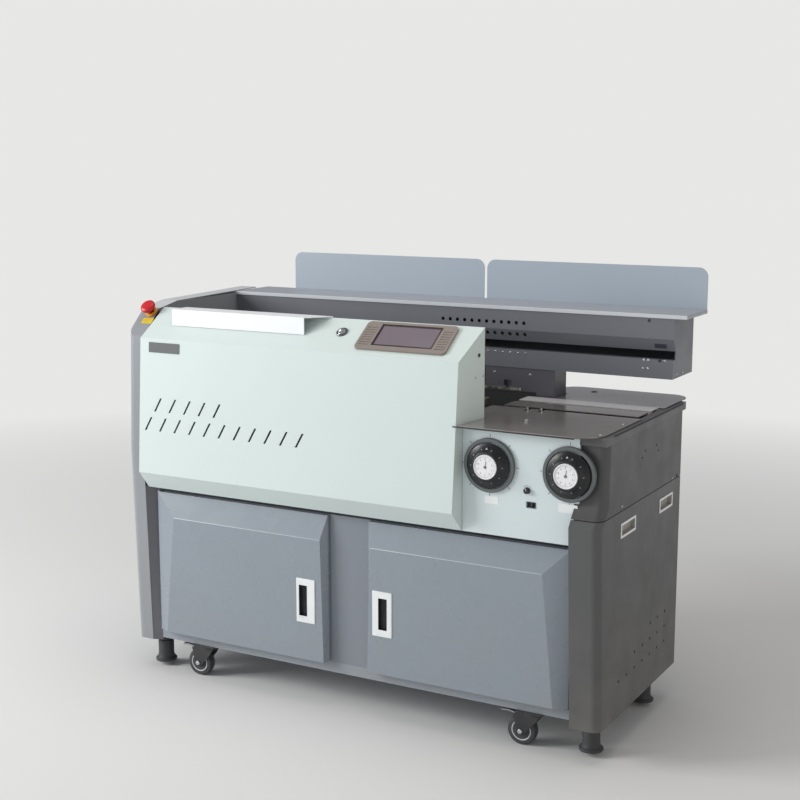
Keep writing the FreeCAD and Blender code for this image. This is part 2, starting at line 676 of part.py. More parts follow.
# Loading shelf: a folded white plate over the left end of the channel.
shelf = new_body("Shelf")
shelf_under = d.shelf_top - d.shelf_wall
pad(shelf, "z", (shelf_under, d.shelf_top), [
    (d.shelf_left, d.shelf_front), (d.shelf_front_end, d.shelf_front),
    (d.shelf_back_end, d.housing_back + d.shelf_wall), (d.shelf_left, d.housing_back + d.shelf_wall)])
pad(shelf, "z", (d.shelf_top - d.shelf_flange, shelf_under), [
    (d.shelf_left, d.shelf_front), (d.shelf_front_end, d.shelf_front),
    (d.shelf_front_end, d.shelf_front + d.shelf_wall), (d.shelf_left, d.shelf_front + d.shelf_wall)])
pad(shelf, "z", (d.shelf_top - d.shelf_flange, shelf_under), [
    (d.shelf_left, d.housing_back), (d.shelf_back_end, d.housing_back),
    (d.shelf_back_end, d.housing_back + d.shelf_wall), (d.shelf_left, d.housing_back + d.shelf_wall)])
node("loading_shelf", shelf)

# Screen: a ribbed surround on the incline, with the touch panel through its window.
bezel = new_body("Bezel")
screen_right = d.screen_left + d.screen_width
screen_back = d.screen_foot + d.screen_depth
pad(bezel, "z", (0, d.screen_height), [
    (d.screen_left, d.screen_foot), (screen_right, d.screen_foot),
    (screen_right, screen_back), (d.screen_left, screen_back)])
soften(bezel, 12, lambda edge: along(edge, "z"))
pocket(bezel, "z", (-1, d.screen_height + 1), [
    (glass_x[0], glass_y[0]), (glass_x[1], glass_y[0]), (glass_x[1], glass_y[1]), (glass_x[0], glass_y[1])])
rib_pitch, rib_groove, rib_count, rib_depth = 9, 3, 8, 2
rib_margin = 7
for low, high in ((d.screen_left + rib_margin, d.glass_left - rib_margin),
                  (glass_x[1] + rib_margin, screen_right - rib_margin)):
    groove = pocket(bezel, "z", (d.screen_height - rib_depth, d.screen_height + 1), [
        (low, glass_y[0]), (high, glass_y[0]), (high, glass_y[0] + rib_groove),
        (low, glass_y[0] + rib_groove)])
    repeat(bezel, groove, "V_Axis", rib_count, as_size(rib_pitch * (rib_count - 1)))
node("screen_bezel", bezel, incline)
node("screen_glass", box(glass_x, glass_y, (-d.screen_box_depth, d.screen_height - 2)), incline)

node("start_button", rod("z", (d.button_place, d.button_slope), (-d.button_ring, d.button_rise + 1),
                         d.button_radius), incline)

# ---------------------------------------------------------------- wheel panel and hand wheels

wheel_panel = new_body("WheelPanel")
panel_crest = d.table_top - d.table_wall - 1
wheel_line = d.table_top - d.wheel_drop


def housing_end(depth):
    """Where the housing's slanted end stands at a given depth."""
    return share(d.housing_corner, d.housing_right, depth - d.housing_front, d.housing_back - d.housing_front)


panel_left = housing_end(deck_front) + 0.5
pad(wheel_panel, "y", (d.wheel_panel_front, deck_front), [
    (panel_left, d.deck_height), (right_inner, d.deck_height), (right_inner, d.jog_height),
    (d.panel_right, d.jog_height), (d.panel_right, panel_crest), (panel_left, panel_crest)])
pad(wheel_panel, "y", (deck_front, d.jog_front), [
    (d.panel_right - d.sheet_wall, d.jog_height), (d.panel_right, d.jog_height),
    (d.panel_right, d.table_shelf), (d.panel_right - d.sheet_wall, d.table_shelf)])
wheel_places = (d.first_wheel, d.second_wheel)
bush_back = deck_front + d.wheel_depth
bushes = [rod("y", (place, wheel_line), (deck_front, bush_back), d.spindle_radius + d.bush_wall)
          for place in wheel_places]
bush_bores = [rod("y", (place, wheel_line), (d.wheel_panel_front - 1, bush_back + 1),
                  d.spindle_radius + d.pin_clearance) for place in wheel_places]
selector_bore = rod("y", (d.selector_place, d.selector_height), (d.wheel_panel_front - 1, deck_front + 1),
                    d.selector_radius / 2 + d.pin_clearance)
socket_drop, socket_size, socket_gap = 28, (9, 12), 3
sockets = [box((d.selector_place + offset, d.selector_place + offset + socket_size[0]),
               (d.wheel_panel_front - 1, deck_front + 1),
               (d.selector_height - socket_drop - socket_size[1], d.selector_height - socket_drop))
           for offset in (0, socket_size[0] + socket_gap)]
node("wheel_panel", cut(fuse(wheel_panel, *bushes), *bush_bores, selector_bore, *sockets))

ring_span = (d.wheel_panel_front - d.ring_depth, d.wheel_panel_front)
node("wheel_rings", group(*[tube("y", (place, wheel_line), ring_span, d.ring_outer, d.ring_inner)
                            for place in wheel_places]))

gauge_middle = d.gauge_line
front_jaw_back = d.book_line - d.nip_gap
jaw_lug = (front_jaw_back - d.jaw_wall, front_jaw_back)
gauge_lug = (gauge_middle - d.gauge_depth / 2, gauge_middle + d.gauge_depth / 2)
dial_seat = 2


def hand_wheel(label, place, spindle_end):
    """A hand wheel with a conical skirt and its spindle, and the dial that is let into its face."""
    wheel = new_body("Wheel")
    radius, hub, skirt_foot = d.wheel_radius, d.dial_radius + d.bush_wall, d.wheel_depth - 6
    revolve(wheel, (0, 0), (d.spindle_radius, 0), (d.spindle_radius, spindle_end - d.wheel_front - d.wheel_depth),
            (0, spindle_end - d.wheel_front - d.wheel_depth))
    dish = new_body("Dish")
    revolve(dish, (0, 0), (d.dial_radius, 0), (d.dial_radius, -dial_seat), (hub, -dial_seat),
            (hub + 3, 0), (radius - 3, skirt_foot - 3), (radius, skirt_foot),
            (radius, d.wheel_depth - 4), (radius - 3, d.wheel_depth - dial_seat),
            (0, d.wheel_depth - dial_seat))
    dial = new_body("Dial")
    revolve(dial, (0, -d.dial_depth), (d.dial_radius - 2, -d.dial_depth), (d.dial_radius - 0.2, -d.dial_depth + 2),
            (d.dial_radius - 0.2, 0), (0, 0))
    for part, start in ((wheel, d.wheel_front + d.wheel_depth - dial_seat), (dish, d.wheel_front + dial_seat),
                        (dial, d.wheel_front + dial_seat)):
        part.Placement = Placement(Vector(), ALONG["y"])
        put(part, place, start, wheel_line)
    return node(label, group(fuse(wheel, dish), dial))


hand_wheel("register_wheel", d.first_wheel, gauge_lug[1] + d.gauge_travel + d.frame_bar)
hand_wheel("nip_wheel", d.second_wheel, front_jaw_back + d.frame_bar)

selector = new_body("Selector")
revolve(selector, (0, 0), (d.selector_radius, 0), (d.selector_radius, 9), (d.selector_radius / 2, 9),
        (d.selector_radius / 2, 20), (0, 20))
selector.Placement = Placement(Vector(), ALONG["y"])
put(selector, d.selector_place, d.wheel_panel_front - 9.3, d.selector_height)
node("selector_knob", group(selector))

# ---------------------------------------------------------------- emergency stop

stop_at = (d.stop_place, d.stop_slope)
collar = cut(fuse(rod("z", stop_at, (0, d.collar_height), d.collar_radius),
                  rod("z", stop_at, (-d.screen_box_depth, 0), d.stop_stem_radius + d.stop_bush)),
             rod("z", stop_at, (-d.screen_box_depth + 3, d.collar_height + 1), d.stop_stem_radius + d.pin_clearance))
node("stop_collar", collar, chamfer)
head_foot = d.collar_height + d.stop_travel + 0.5
node("stop_stem", rod("z", stop_at, (-d.screen_box_depth + 3 + d.stop_travel + 0.5, head_foot + 6),
                      d.stop_stem_radius), chamfer)
head = new_body("Head")
r = d.stop_head_radius
revolve(head, (0, 0), (r * 0.62, 0), (r * 0.66, 5), (r * 0.94, 7), (r, 10), (r * 0.98, 14),
        (r * 0.8, d.stop_head_height - 1.5), (r * 0.5, d.stop_head_height), (0, d.stop_head_height))
put(head, d.stop_place, d.stop_slope, head_foot)
node("stop_head", cut(group(head), rod("z", stop_at, (head_foot - 1, head_foot + 6.3),
                                       d.stop_stem_radius + d.pin_clearance)), chamfer)

# ---------------------------------------------------------------- beam, tray and back plates

# The beam is a closed box with a folded front; the carriage reaches out through its slot.
beam_top = d.tray_top - d.sheet_wall
slot_face = d.beam_front + d.slot_recess
beam = new_body("Beam")
pad(beam, "x", (d.beam_left, d.beam_right), [
    (d.beam_front, d.beam_bottom), (d.beam_back, d.beam_bottom), (d.beam_back, beam_top),
    (d.beam_front, beam_top), (d.beam_front, d.beam_fold), (slot_face, d.slot_top),
    (slot_face, d.slot_bottom), (d.beam_front, d.slot_bottom)])
for height in (d.high_holes, d.low_holes):
    hole = pocket(beam, "y", (d.beam_front - 1, slot_face), (d.hole_start, height, d.hole_radius))
    repeat(beam, hole, "H_Axis", 12, d.hole_pitch * 11)
beam_skin = (d.beam_front + wall, d.beam_bottom + wall)
beam_hollow = new_body("BeamHollow")
pad(beam_hollow, "x", (d.beam_left + wall, d.beam_right - wall), [
    beam_skin, (d.beam_back - wall, beam_skin[1]), (d.beam_back - wall, beam_top - wall),
    (beam_skin[0], beam_top - wall), (beam_skin[0], d.beam_fold + wall * 0.3),
    (slot_face + wall * 1.2, d.slot_top), (slot_face - 1, d.slot_top), (slot_face - 1, d.slot_bottom),
    (slot_face, d.slot_bottom), (slot_face, d.slot_bottom - wall), (beam_skin[0], d.slot_bottom - wall)])
block_low = (d.beam_left + d.sheet_wall, d.beam_left + d.frame_bar)
block_high = (d.beam_right - d.frame_bar, d.beam_right - d.sheet_wall)
rail_blocks = [box(span, (d.rail_line - d.bearing_radius, d.rail_line + d.bearing_radius),
                   (d.beam_bottom + d.sheet_wall, d.high_rail + d.bearing_radius))
               for span in (block_low, block_high)]
rail_heights = (d.low_rail, d.high_rail)
rail_bores = [rod("x", (d.rail_line, height), (block_low[0] + 1, block_high[1] - 1), d.rail_radius)
              for height in rail_heights]
node("beam_housing", cut(fuse(cut(beam, beam_hollow), *rail_blocks), *rail_bores))
node("carriage_rails", group(*[
    rod("x", (d.rail_line, height), (block_low[0] + 1.3, block_high[1] - 1.3), d.rail_radius - 0.02)
    for height in rail_heights]))

column_width = d.column_right - d.column_left
column_front = d.beam_front + d.pull_rim


def column(left):
    """A square tube that stands on the deck and carries the beam."""
    outside = box((left, left + column_width), (column_front, d.column_back), (deck_top, d.beam_bottom))
    inside = box((left + d.tank_wall, left + column_width - d.tank_wall),
                 (column_front + d.tank_wall, d.column_back - d.tank_wall),
                 (deck_top - 1, d.beam_bottom + 1))
    return cut(outside, inside)


bracket = box((d.bracket_left, d.column_left), (column_front, column_front + d.sheet_wall),
              (d.bracket_bottom, d.beam_bottom))
node("beam_columns", group(column(d.left_column), fuse(column(d.column_left), bracket)))

tray = new_body("Tray")
pad(tray, "z", (d.tray_top - d.tray_lip, d.tray_top), [
    (d.left_flange + 0.3, d.tray_front), (d.tray_right, d.tray_front),
    (d.tray_right, d.tray_back), (d.left_flange + 0.3, d.tray_back)])
shell(tray, d.sheet_wall, lambda face: in_plane(face, "z", (d.tray_top - d.tray_lip).number))
node("top_tray", tray)


def back_plate(left):
    plate = new_body("BackPlate")
    right = left + d.plate_length
    pad(plate, "y", (d.tray_back, d.tray_back + d.sheet_wall), [
        (left, d.tray_top - d.tray_lip), (right, d.tray_top - d.tray_lip), (right, d.plate_top),
        (left, d.plate_top)])
    soften(plate, d.plate_corner, lambda edge: along(edge, "y")
           and abs(edge.BoundBox.ZMax - d.plate_top.number) < EPS)
    return plate


node("back_plates", group(back_plate(d.plate_left), back_plate(d.plate_left + d.plate_length + d.plate_split)))

# ---------------------------------------------------------------- cover table and nip

table_under = d.table_top - d.table_wall
frame_right = d.cabinet_length
nip_bar = (d.rear_plate_front - d.frame_side, d.rear_plate_front)
guide_bar = (d.jog_front + d.frame_side, d.jog_front + d.frame_side * 2)
rear_left = d.column_right + d.frame_side / 2
guide_height = d.table_top - d.guide_drop
guide_places = (d.guide_left, d.guide_right)
lug_half = d.guide_radius * 2


def frame_member(x, y):
    return box(x, y, (d.table_shelf, table_under))


frame_front = deck_front + 0.5


members = [
    frame_member((d.frame_left, frame_right), (frame_front, frame_front + d.frame_side)),
    frame_member((frame_right - d.frame_side, frame_right), (frame_front, d.frame_back)),
    frame_member((d.frame_left, d.frame_left + d.frame_side), (frame_front, nip_bar[1])),
    frame_member((d.frame_left, frame_right), guide_bar),
    frame_member((d.frame_left, frame_right), nip_bar),
    frame_member((rear_left, rear_left + d.frame_side), (nip_bar[0], d.frame_back)),
    frame_member((rear_left, frame_right), (d.frame_back - d.frame_side, d.frame_back))]
hangers = [box((place - lug_half, place + lug_half), bar, (guide_height - lug_half, d.table_shelf))
           for place in guide_places for bar in (guide_bar, nip_bar)]
guides = [rod("y", (place, guide_height), (guide_bar[0], nip_bar[1]), d.guide_radius)
          for place in guide_places]
node("table_frame", fuse(*members, *hangers, *guides))

front_plate = new_body("FrontPlate")
plate_left = d.housing_right + 4
pad(front_plate, "z", (table_under, d.table_top), [
    (housing_end(d.table_front) + 4, d.table_front), (d.table_right, d.table_front),
    (d.table_right, d.front_plate_back),
    (d.screen_left + d.screen_width, d.front_plate_back), (d.screen_left + d.screen_width, d.housing_back + 8),
    (plate_left, d.housing_back + 8)])
soften(front_plate, d.table_corner, lambda edge: along(edge, "z")
       and abs(edge.BoundBox.XMin - d.table_right.number) < EPS
       and abs(edge.BoundBox.YMin - d.table_front.number) < EPS)
slot_half = d.gauge_stud + 0.8
pocket(front_plate, "z", (table_under - 1, d.table_top + 1), *[
    [(place - slot_half, gauge_middle - d.gauge_travel - slot_half),
     (place + slot_half, gauge_middle - d.gauge_travel - slot_half),
     (place + slot_half, d.front_plate_back + 1), (place - slot_half, d.front_plate_back + 1)]
    for place in (d.first_stud, d.second_stud)])
node("front_table_plate", front_plate)

rear_plate = new_body("RearPlate")
notch = d.column_right + 4
pad(rear_plate, "z", (table_under, d.table_top), [
    (notch, d.rear_plate_front), (d.table_right, d.rear_plate_front), (d.table_right, d.table_back),
    (d.table_left, d.table_back), (d.table_left, d.column_back + 4), (notch, d.column_back + 4)])
soften(rear_plate, d.table_corner - 15, lambda edge: along(edge, "z")
       and abs(edge.BoundBox.YMin - d.table_back.number) < EPS)
node("rear_table_plate", rear_plate)


def nip_jaw(face_y, plate_y, foot, plate_foot):
    """A jaw bar under its cover plate, with a lug that carries the screw."""
    jaw_left = d.frame_left + d.frame_side + 8
    return [box((d.nip_left, d.nip_right), plate_y, (plate_foot, d.table_top)),
            box((jaw_left, d.nip_right), face_y, (foot, plate_foot)),
            box((d.second_wheel - d.jaw_wall, d.second_wheel + d.jaw_wall), face_y, (d.jaw_foot, foot))]


def screw_bore(place, y):
    return rod("y", (place, wheel_line), (y[0] - 1, y[1] + 1), d.spindle_radius + d.pin_clearance)


def guide_bores(y):
    return [rod("y", (place, guide_height), (y[0] - 1, y[1] + 1), d.guide_radius + d.pin_clearance)
            for place in guide_places]


rear_lug = (d.book_line, d.book_line + d.jaw_wall)
node("rear_nip_jaw", cut(fuse(*nip_jaw(rear_lug, (d.book_line, nip_bar[1]), d.table_shelf - d.frame_side,
                                       table_under)),
                         screw_bore(d.second_wheel, rear_lug), *guide_bores(rear_lug)))
slider_span = (guide_height - lug_half + 2, d.table_shelf - 0.5)
jaw_slider = box((d.guide_left - lug_half, d.nip_right), jaw_lug, slider_span)
node("front_nip_jaw", cut(fuse(jaw_slider, *nip_jaw(jaw_lug, (front_jaw_back - d.front_jaw_depth, front_jaw_back),
                                                    slider_span[0], table_under + 0.4)),
                          screw_bore(d.second_wheel, jaw_lug), *guide_bores(jaw_lug)))

gauge_slider = box((d.guide_left - lug_half, d.guide_right + lug_half), gauge_lug, slider_span)
stud_block = box((d.first_stud - d.gauge_depth / 2, d.second_stud + d.gauge_depth / 2), gauge_lug,
                 (slider_span[0], table_under - 1))
gauge_foot = box((d.first_wheel - d.jaw_wall, d.first_wheel + d.jaw_wall), gauge_lug,
                 (d.jaw_foot, slider_span[1]))
studs = [rod("z", (place, gauge_middle), (slider_span[1], d.table_top + d.stud_rise), d.gauge_stud)
         for place in (d.first_stud, d.second_stud)]
node("register_gauge", cut(fuse(gauge_slider, stud_block, gauge_foot, *studs),
                           screw_bore(d.first_wheel, gauge_lug), *guide_bores(gauge_lug)))

# ---------------------------------------------------------------- clamp carriage

clamp_right = d.clamp_left + d.clamp_length
rear_jaw = (d.book_line, d.book_line + d.clamp_wall)
front_jaw = (d.book_line - d.clamp_open - d.clamp_wall, d.book_line - d.clamp_open)
carriage_left = d.clamp_left + (d.clamp_length - d.carriage_length) / 2
carriage_right = carriage_left + d.carriage_length
arm_inset, arm_width, arm_gap, clamp_rod_inset = 20, 34, 3, 20
web = box((carriage_left, carriage_right), (d.rail_line - d.rail_radius, d.rail_line + d.rail_radius),
          (d.low_rail, d.high_rail))
bearings = [rod("x", (d.rail_line, height), (carriage_left, carriage_right), d.bearing_radius)
            for height in rail_heights]
arms = [box((left, left + arm_width), (rear_jaw[0] + 2, d.rail_line),
            (d.slot_bottom + arm_gap, d.slot_top - arm_gap))
        for left in (carriage_left + arm_inset, carriage_right - arm_inset - arm_width)]
rear_jaw_plate = box((d.clamp_left, clamp_right), rear_jaw, (d.clamp_bottom, d.clamp_top))
clamp_rod_height = (d.clamp_bottom + d.clamp_top) / 2
clamp_rod_places = (d.clamp_left + clamp_rod_inset, clamp_right - clamp_rod_inset)
clamp_rods = [rod("y", (place, clamp_rod_height), (front_jaw[0] - clamp_rod_inset - 6, rear_jaw[1]),
                  d.clamp_rod_radius) for place in clamp_rod_places]
bearing_bores = [rod("x", (d.rail_line, height), (carriage_left - 1, carriage_right + 1),
                     d.rail_radius + d.pin_clearance - 0.02) for height in rail_heights]
node("carriage", cut(fuse(web, *bearings, *arms, rear_jaw_plate, *clamp_rods), *bearing_bores))

clamp_jaw = new_body("ClampJaw")
pad(clamp_jaw, "x", (d.clamp_left, clamp_right), [
    (front_jaw[1], d.clamp_bottom), (front_jaw[1], d.clamp_top), (front_jaw[0] + 8, d.clamp_top),
    (front_jaw[0], d.clamp_top - 14), (front_jaw[0], d.clamp_bottom + 10),
    (front_jaw[0] + 10, d.clamp_bottom)])
pocket(clamp_jaw, "y", (front_jaw[0] - 1, front_jaw[1] + 1), *[
    (place, clamp_rod_height, d.clamp_rod_radius + d.pin_clearance) for place in clamp_rod_places])
node("front_clamp_jaw", clamp_jaw)

# ---------------------------------------------------------------- milling and gluing stations

mill_middle = d.book_line - d.clamp_wall
cutter = new_body("Cutter")
cutter_foot = d.cutter_top - d.cutter_wall
revolve(cutter, (0, d.deck_height + d.mill_motor_height - 20), (d.mill_shaft_radius, d.deck_height + d.mill_motor_height - 20),
        (d.mill_shaft_radius, cutter_foot - 14), (d.mill_shaft_radius * 2, cutter_foot - 14),
        (d.mill_shaft_radius * 2, cutter_foot), (d.cutter_radius - 6, cutter_foot),
        (d.cutter_radius - 2, d.cutter_top), (0, d.cutter_top))
tooth = pad(cutter, "z", (d.cutter_top - 4, d.cutter_top + 6), [
    (d.cutter_radius - 20, -4), (d.cutter_radius, -4), (d.cutter_radius, 4), (d.cutter_radius - 20, 4)])
ring = cutter.newObject("PartDesign::PolarPattern", "Teeth")
ring.Originals = [tooth]
ring.Axis = (tooth.Profile[0], ["N_Axis"])
ring.Angle = 360
ring.Occurrences = SIZES["tooth_count"]
cutter.Tip = ring
put(cutter, d.mill_place, mill_middle, 0)
node("mill_cutter", group(cutter))

motor_top = deck_top + d.mill_motor_height
mill_motor = cut(fuse(rod("z", (d.mill_place, mill_middle), (deck_top + 12, motor_top), d.mill_motor_radius),
                      box((d.mill_place - d.mill_motor_radius - 10, d.mill_place + d.mill_motor_radius + 10),
                          (mill_middle - d.mill_motor_radius - 10, mill_middle + d.mill_motor_radius + 10),
                          (deck_top, deck_top + 12))),
                 rod("z", (d.mill_place, mill_middle), (motor_top - 30, motor_top + 1),
                     d.mill_shaft_radius + d.pin_clearance))
drive_radius = d.mill_motor_radius - 14
drive_line, drive_height = d.column_back - d.mill_motor_radius, deck_top + d.mill_motor_radius
drive_motor_end = d.drive_motor_place + 170
drive_motor = fuse(rod("x", (drive_line, drive_height), (d.drive_motor_place, drive_motor_end), drive_radius),
                   rod("x", (drive_line, drive_height), (d.drive_motor_place - 30, d.drive_motor_place + 10), 8),
                   rod("x", (drive_line, drive_height), (d.drive_motor_place - 30, d.drive_motor_place - 15), 24),
                   box((d.drive_motor_place + 20, drive_motor_end - 30),
                       (drive_line - drive_radius, drive_line + drive_radius), (deck_top, deck_top + 24)))
node("motors", group(mill_motor, drive_motor))

# Glue tank on its stand, with the bores for the roller shafts and a bar that levels the glue.
tank_x, tank_y = (d.tank_left, d.tank_right), (d.tank_front, d.tank_back)
tank_hollow = box((tank_x[0] + d.tank_wall, tank_x[1] - d.tank_wall),
                  (tank_y[0] + d.tank_wall, tank_y[1] - d.tank_wall),
                  (d.tank_bottom + d.tank_wall, d.tank_top + 1))
stand = [box((place, place + d.tank_wall * 3), (tank_y[0] + 10, tank_y[1] - 10), (deck_top, d.tank_bottom))
         for place in (tank_x[0] + 10, tank_x[1] - 10 - d.tank_wall * 3)]
bar_front, bar_wall, bar_height = 315, 10, 844
bar_right = d.housing_right + 6
bar_post = box((tank_x[1] - 22, tank_x[1] - 4), (bar_front, bar_front + bar_wall), (d.tank_top - 32, bar_height + 2))
bar_foot = box((tank_x[1] - 22, tank_x[1] - 4), (bar_front, tank_y[0] + 1), (d.tank_top - 32, d.tank_top - 2))
bar = box((tank_x[1] - 22, bar_right), (bar_front, bar_front + bar_wall), (bar_height, bar_height + 6))
knob_place = (bar_right - 35, bar_front + bar_wall / 2)
bar_knob = fuse(rod("z", knob_place, (bar_height + 5, bar_height + 14), 4),
                rod("z", knob_place, (bar_height + 12, bar_height + 26), 10))
rollers = (d.first_roller, d.second_roller)
shaft_bores = [rod("y", (place, d.roller_height), (tank_y[0] - 1, tank_y[1] + 1), d.roller_shaft + d.pin_clearance)
               for place in rollers]
tank = cut(box(tank_x, tank_y, (d.tank_bottom, d.tank_top)), tank_hollow, *shaft_bores)
node("glue_tank", fuse(tank, *stand, bar_post, bar_foot, bar, bar_knob))
roller_middle = (d.tank_front + d.tank_back) / 2
for label, place in zip(("first_glue_roller", "second_glue_roller"), rollers):
    centre = (place, d.roller_height)
    node(label, fuse(
        rod("y", centre, (roller_middle - d.roller_length / 2, roller_middle + d.roller_length / 2), d.roller_radius),
        rod("y", centre, (tank_y[0] - 8, tank_y[1] + 12), d.roller_shaft),
        rod("y", centre, (tank_y[1] + 3, tank_y[1] + 9), d.roller_radius - 4)))

# ---------------------------------------------------------------- electrics and bin

electrical = new_body("ElectricalBox")
box_back = rear_face - 10
pad(electrical, "z", (base_top, base_top + d.box_height), [
    (d.box_left, d.box_front), (d.box_left + d.box_width, d.box_front),
    (d.box_left + d.box_width, box_back), (d.box_left, box_back)])
pocket(electrical, "y", (d.box_front - 1, box_back - d.bin_wall), [
    (d.box_left + d.bin_wall, base_top + d.bin_wall),
    (d.box_left + d.box_width - d.bin_wall, base_top + d.bin_wall),
    (d.box_left + d.box_width - d.bin_wall, base_top + d.box_height - d.bin_wall),
    (d.box_left + d.bin_wall, base_top + d.box_height - d.bin_wall)])
rail_low = base_top + 30
din_rail = box((d.box_left + 20, d.box_left + d.box_width - 20), (box_back - 13, box_back - 2),
               (rail_low, rail_low + 35))
relays = [box((d.box_left + 30 + step * 48, d.box_left + 70 + step * 48), (box_back - 80, box_back - 12),
              (rail_low - 20, rail_low + 55)) for step in range(5)]
node("electrical_box", fuse(electrical, din_rail, *relays))

waste_bin = new_body("WasteBin")
bin_right, bin_back = d.bin_left + d.bin_width, d.bin_front + d.bin_depth
pad(waste_bin, "z", (base_top, base_top + d.bin_height), [
    (d.bin_left, d.bin_front), (bin_right, d.bin_front), (bin_right, bin_back), (d.bin_left, bin_back)])
pocket(waste_bin, "z", (base_top + d.bin_wall, base_top + d.bin_height + 1), [
    (d.bin_left + d.bin_wall, d.bin_front + d.bin_wall), (bin_right - d.bin_wall, d.bin_front + d.bin_wall),
    (bin_right - d.bin_wall, bin_back - d.bin_wall), (d.bin_left + d.bin_wall, bin_back - d.bin_wall)])
bin_middle = d.bin_left + d.bin_width / 2
pocket(waste_bin, "y", (d.bin_front - 1, d.bin_front + d.bin_wall + 1), [
    (bin_middle - 55, base_top + d.bin_height - 60), (bin_middle + 55, base_top + d.bin_height - 60),
    (bin_middle + 55, base_top + d.bin_height - 30), (bin_middle - 55, base_top + d.bin_height - 30)])
node("waste_bin", waste_bin)

# ---------------------------------------------------------------- flush side pulls


def side_pull(middle):
    """A flush cup pull: a thin rim on the skin and a shallow cup behind it."""
    half_width, half_height = d.side_pull_width / 2, d.side_pull_height / 2
    height = d.side_pull_middle
    cup_width = half_width - d.pull_rim * 2 - 0.5
    cup_height = half_height - d.pull_rim * 2 - 0.5
    face = d.cabinet_length

    def block(x, width, rise):
        return box(x, (middle - width, middle + width), (height - rise, height + rise))

    return cut(fuse(block((face, face + d.cup_wall), half_width, half_height),
                    block((face - d.side_pull_depth, face + d.cup_wall), cup_width, cup_height)),
               block((face - d.side_pull_depth + d.cup_wall, face + d.cup_wall + 1),
                     cup_width - d.cup_wall, cup_height - d.cup_wall))


node("side_pulls", group(side_pull(d.first_side_pull), side_pull(d.second_side_pull)))

# ---------------------------------------------------------------- doors

def rectangle(x, z):
    return [(x[0], z[0]), (x[1], z[0]), (x[1], z[1]), (x[0], z[1])]


def door(name, hinge, side, pull_inset, slot_shift):
    """A folded door: side is +1 when it reaches to the right of its hinge and -1 to the left."""
    free = hinge + d.door_width * side
    low, high = d.door_bottom, d.door_top

    def plateau(inset):
        return [(hinge + (d.hinge_bevel_foot + inset) * side, low + inset),
                (free - (d.pull_bevel_foot + inset) * side, low + inset),
                (free - (d.pull_bevel_top + inset) * side, high - d.bevel_height - inset),
                (hinge + (d.hinge_bevel_top + inset) * side, high - d.bevel_height - inset)]

    def edge(inset):
        return rectangle((hinge + inset * side, free - inset * side), (low + inset, high - inset))

    wall, none = d.door_skin, as_size(0)
    shoulder = door_back - d.door_edge
    outer = new_body("DoorOuter")
    loft(outer, "y", (door_back, edge(none)), (shoulder, edge(none)), (d.plateau_front, plateau(none)))
    inner = new_body("DoorInner")
    loft(inner, "y", (door_back + 1, edge(wall)), (shoulder, edge(wall)), (d.plateau_front + wall, plateau(wall)))
    back_return = new_body("DoorReturn")
    pad(back_return, "y", (door_back - wall, door_back), edge(none), edge(d.door_return))
    axis_x = hinge + d.hinge_setback * side
    block_x = sorted((hinge, hinge + (d.door_edge + 1) * side), key=lambda end: end.number)
    blocks = [box(block_x, (shoulder, door_back), span)
              for span in ((low, low + d.door_return), (high - d.door_return, high))]
    bore = rod("z", (axis_x, hinge_line), (low - 1, high + 1), d.hinge_pin_radius + d.pin_clearance)
    pull_at = free - pull_inset * side
    slot_at = pull_at + slot_shift
    half_slot, half_rise = d.pull_slot_width / 2, d.pull_slot_height / 2
    opening = box((slot_at - half_slot - d.cup_wall - 0.3, slot_at + half_slot + d.cup_wall + 0.3),
                  (d.plateau_front - 1, d.plateau_front + wall + 1),
                  (d.pull_middle - half_rise - d.cup_wall - 0.3, d.pull_middle + half_rise + d.cup_wall + 0.3))
    node(name, cut(fuse(cut(outer, inner), back_return, *blocks), bore, opening))
    plate_y = (d.plateau_front - d.pull_rim, d.plateau_front)
    half_width, half_height = d.pull_width / 2, d.pull_height / 2
    plate = box((pull_at - half_width, pull_at + half_width), plate_y,
                (d.pull_middle - half_height, d.pull_middle + half_height))
    cup = box((slot_at - half_slot - d.cup_wall, slot_at + half_slot + d.cup_wall),
              (plate_y[0], d.plateau_front + d.pull_cup_depth),
              (d.pull_middle - half_rise - d.cup_wall, d.pull_middle + half_rise + d.cup_wall))
    hollow = box((slot_at - half_slot, slot_at + half_slot),
                 (plate_y[0] - 1, d.plateau_front + d.pull_cup_depth - d.cup_wall),
                 (d.pull_middle - half_rise, d.pull_middle + half_rise))
    node(f"{name}_pull", cut(fuse(plate, cup), hollow))


door("left_door", door_hinges[0], 1, d.left_pull_inset, d.left_slot_shift)
door("right_door", door_hinges[1], -1, d.right_pull_inset, d.right_slot_shift)

# ---------------------------------------------------------------- casters and levelling feet

caster_top = d.base_bottom - d.sheet_wall
pin_radius = d.mill_shaft_radius - 4
crown = (caster_top - 11, caster_top - 0.4)


def caster_plate(place):
    half = d.caster_plate / 2
    x, y = place
    return fuse(box((x - half, x + half), (y - half, y + half), (caster_top, d.base_bottom)),
                rod("z", place, (crown[0] - 0.4, caster_top), pin_radius),
                rod("z", place, (crown[0] - 2.4, crown[0] - 0.4), pin_radius + 3))


node("caster_plates", group(*[caster_plate(place) for place in caster_places]))

wheel_radius = d.wheel_size / 2
leg_inside = d.tread_width / 2 + d.fork_gap
pedal_pin = (12, 42)


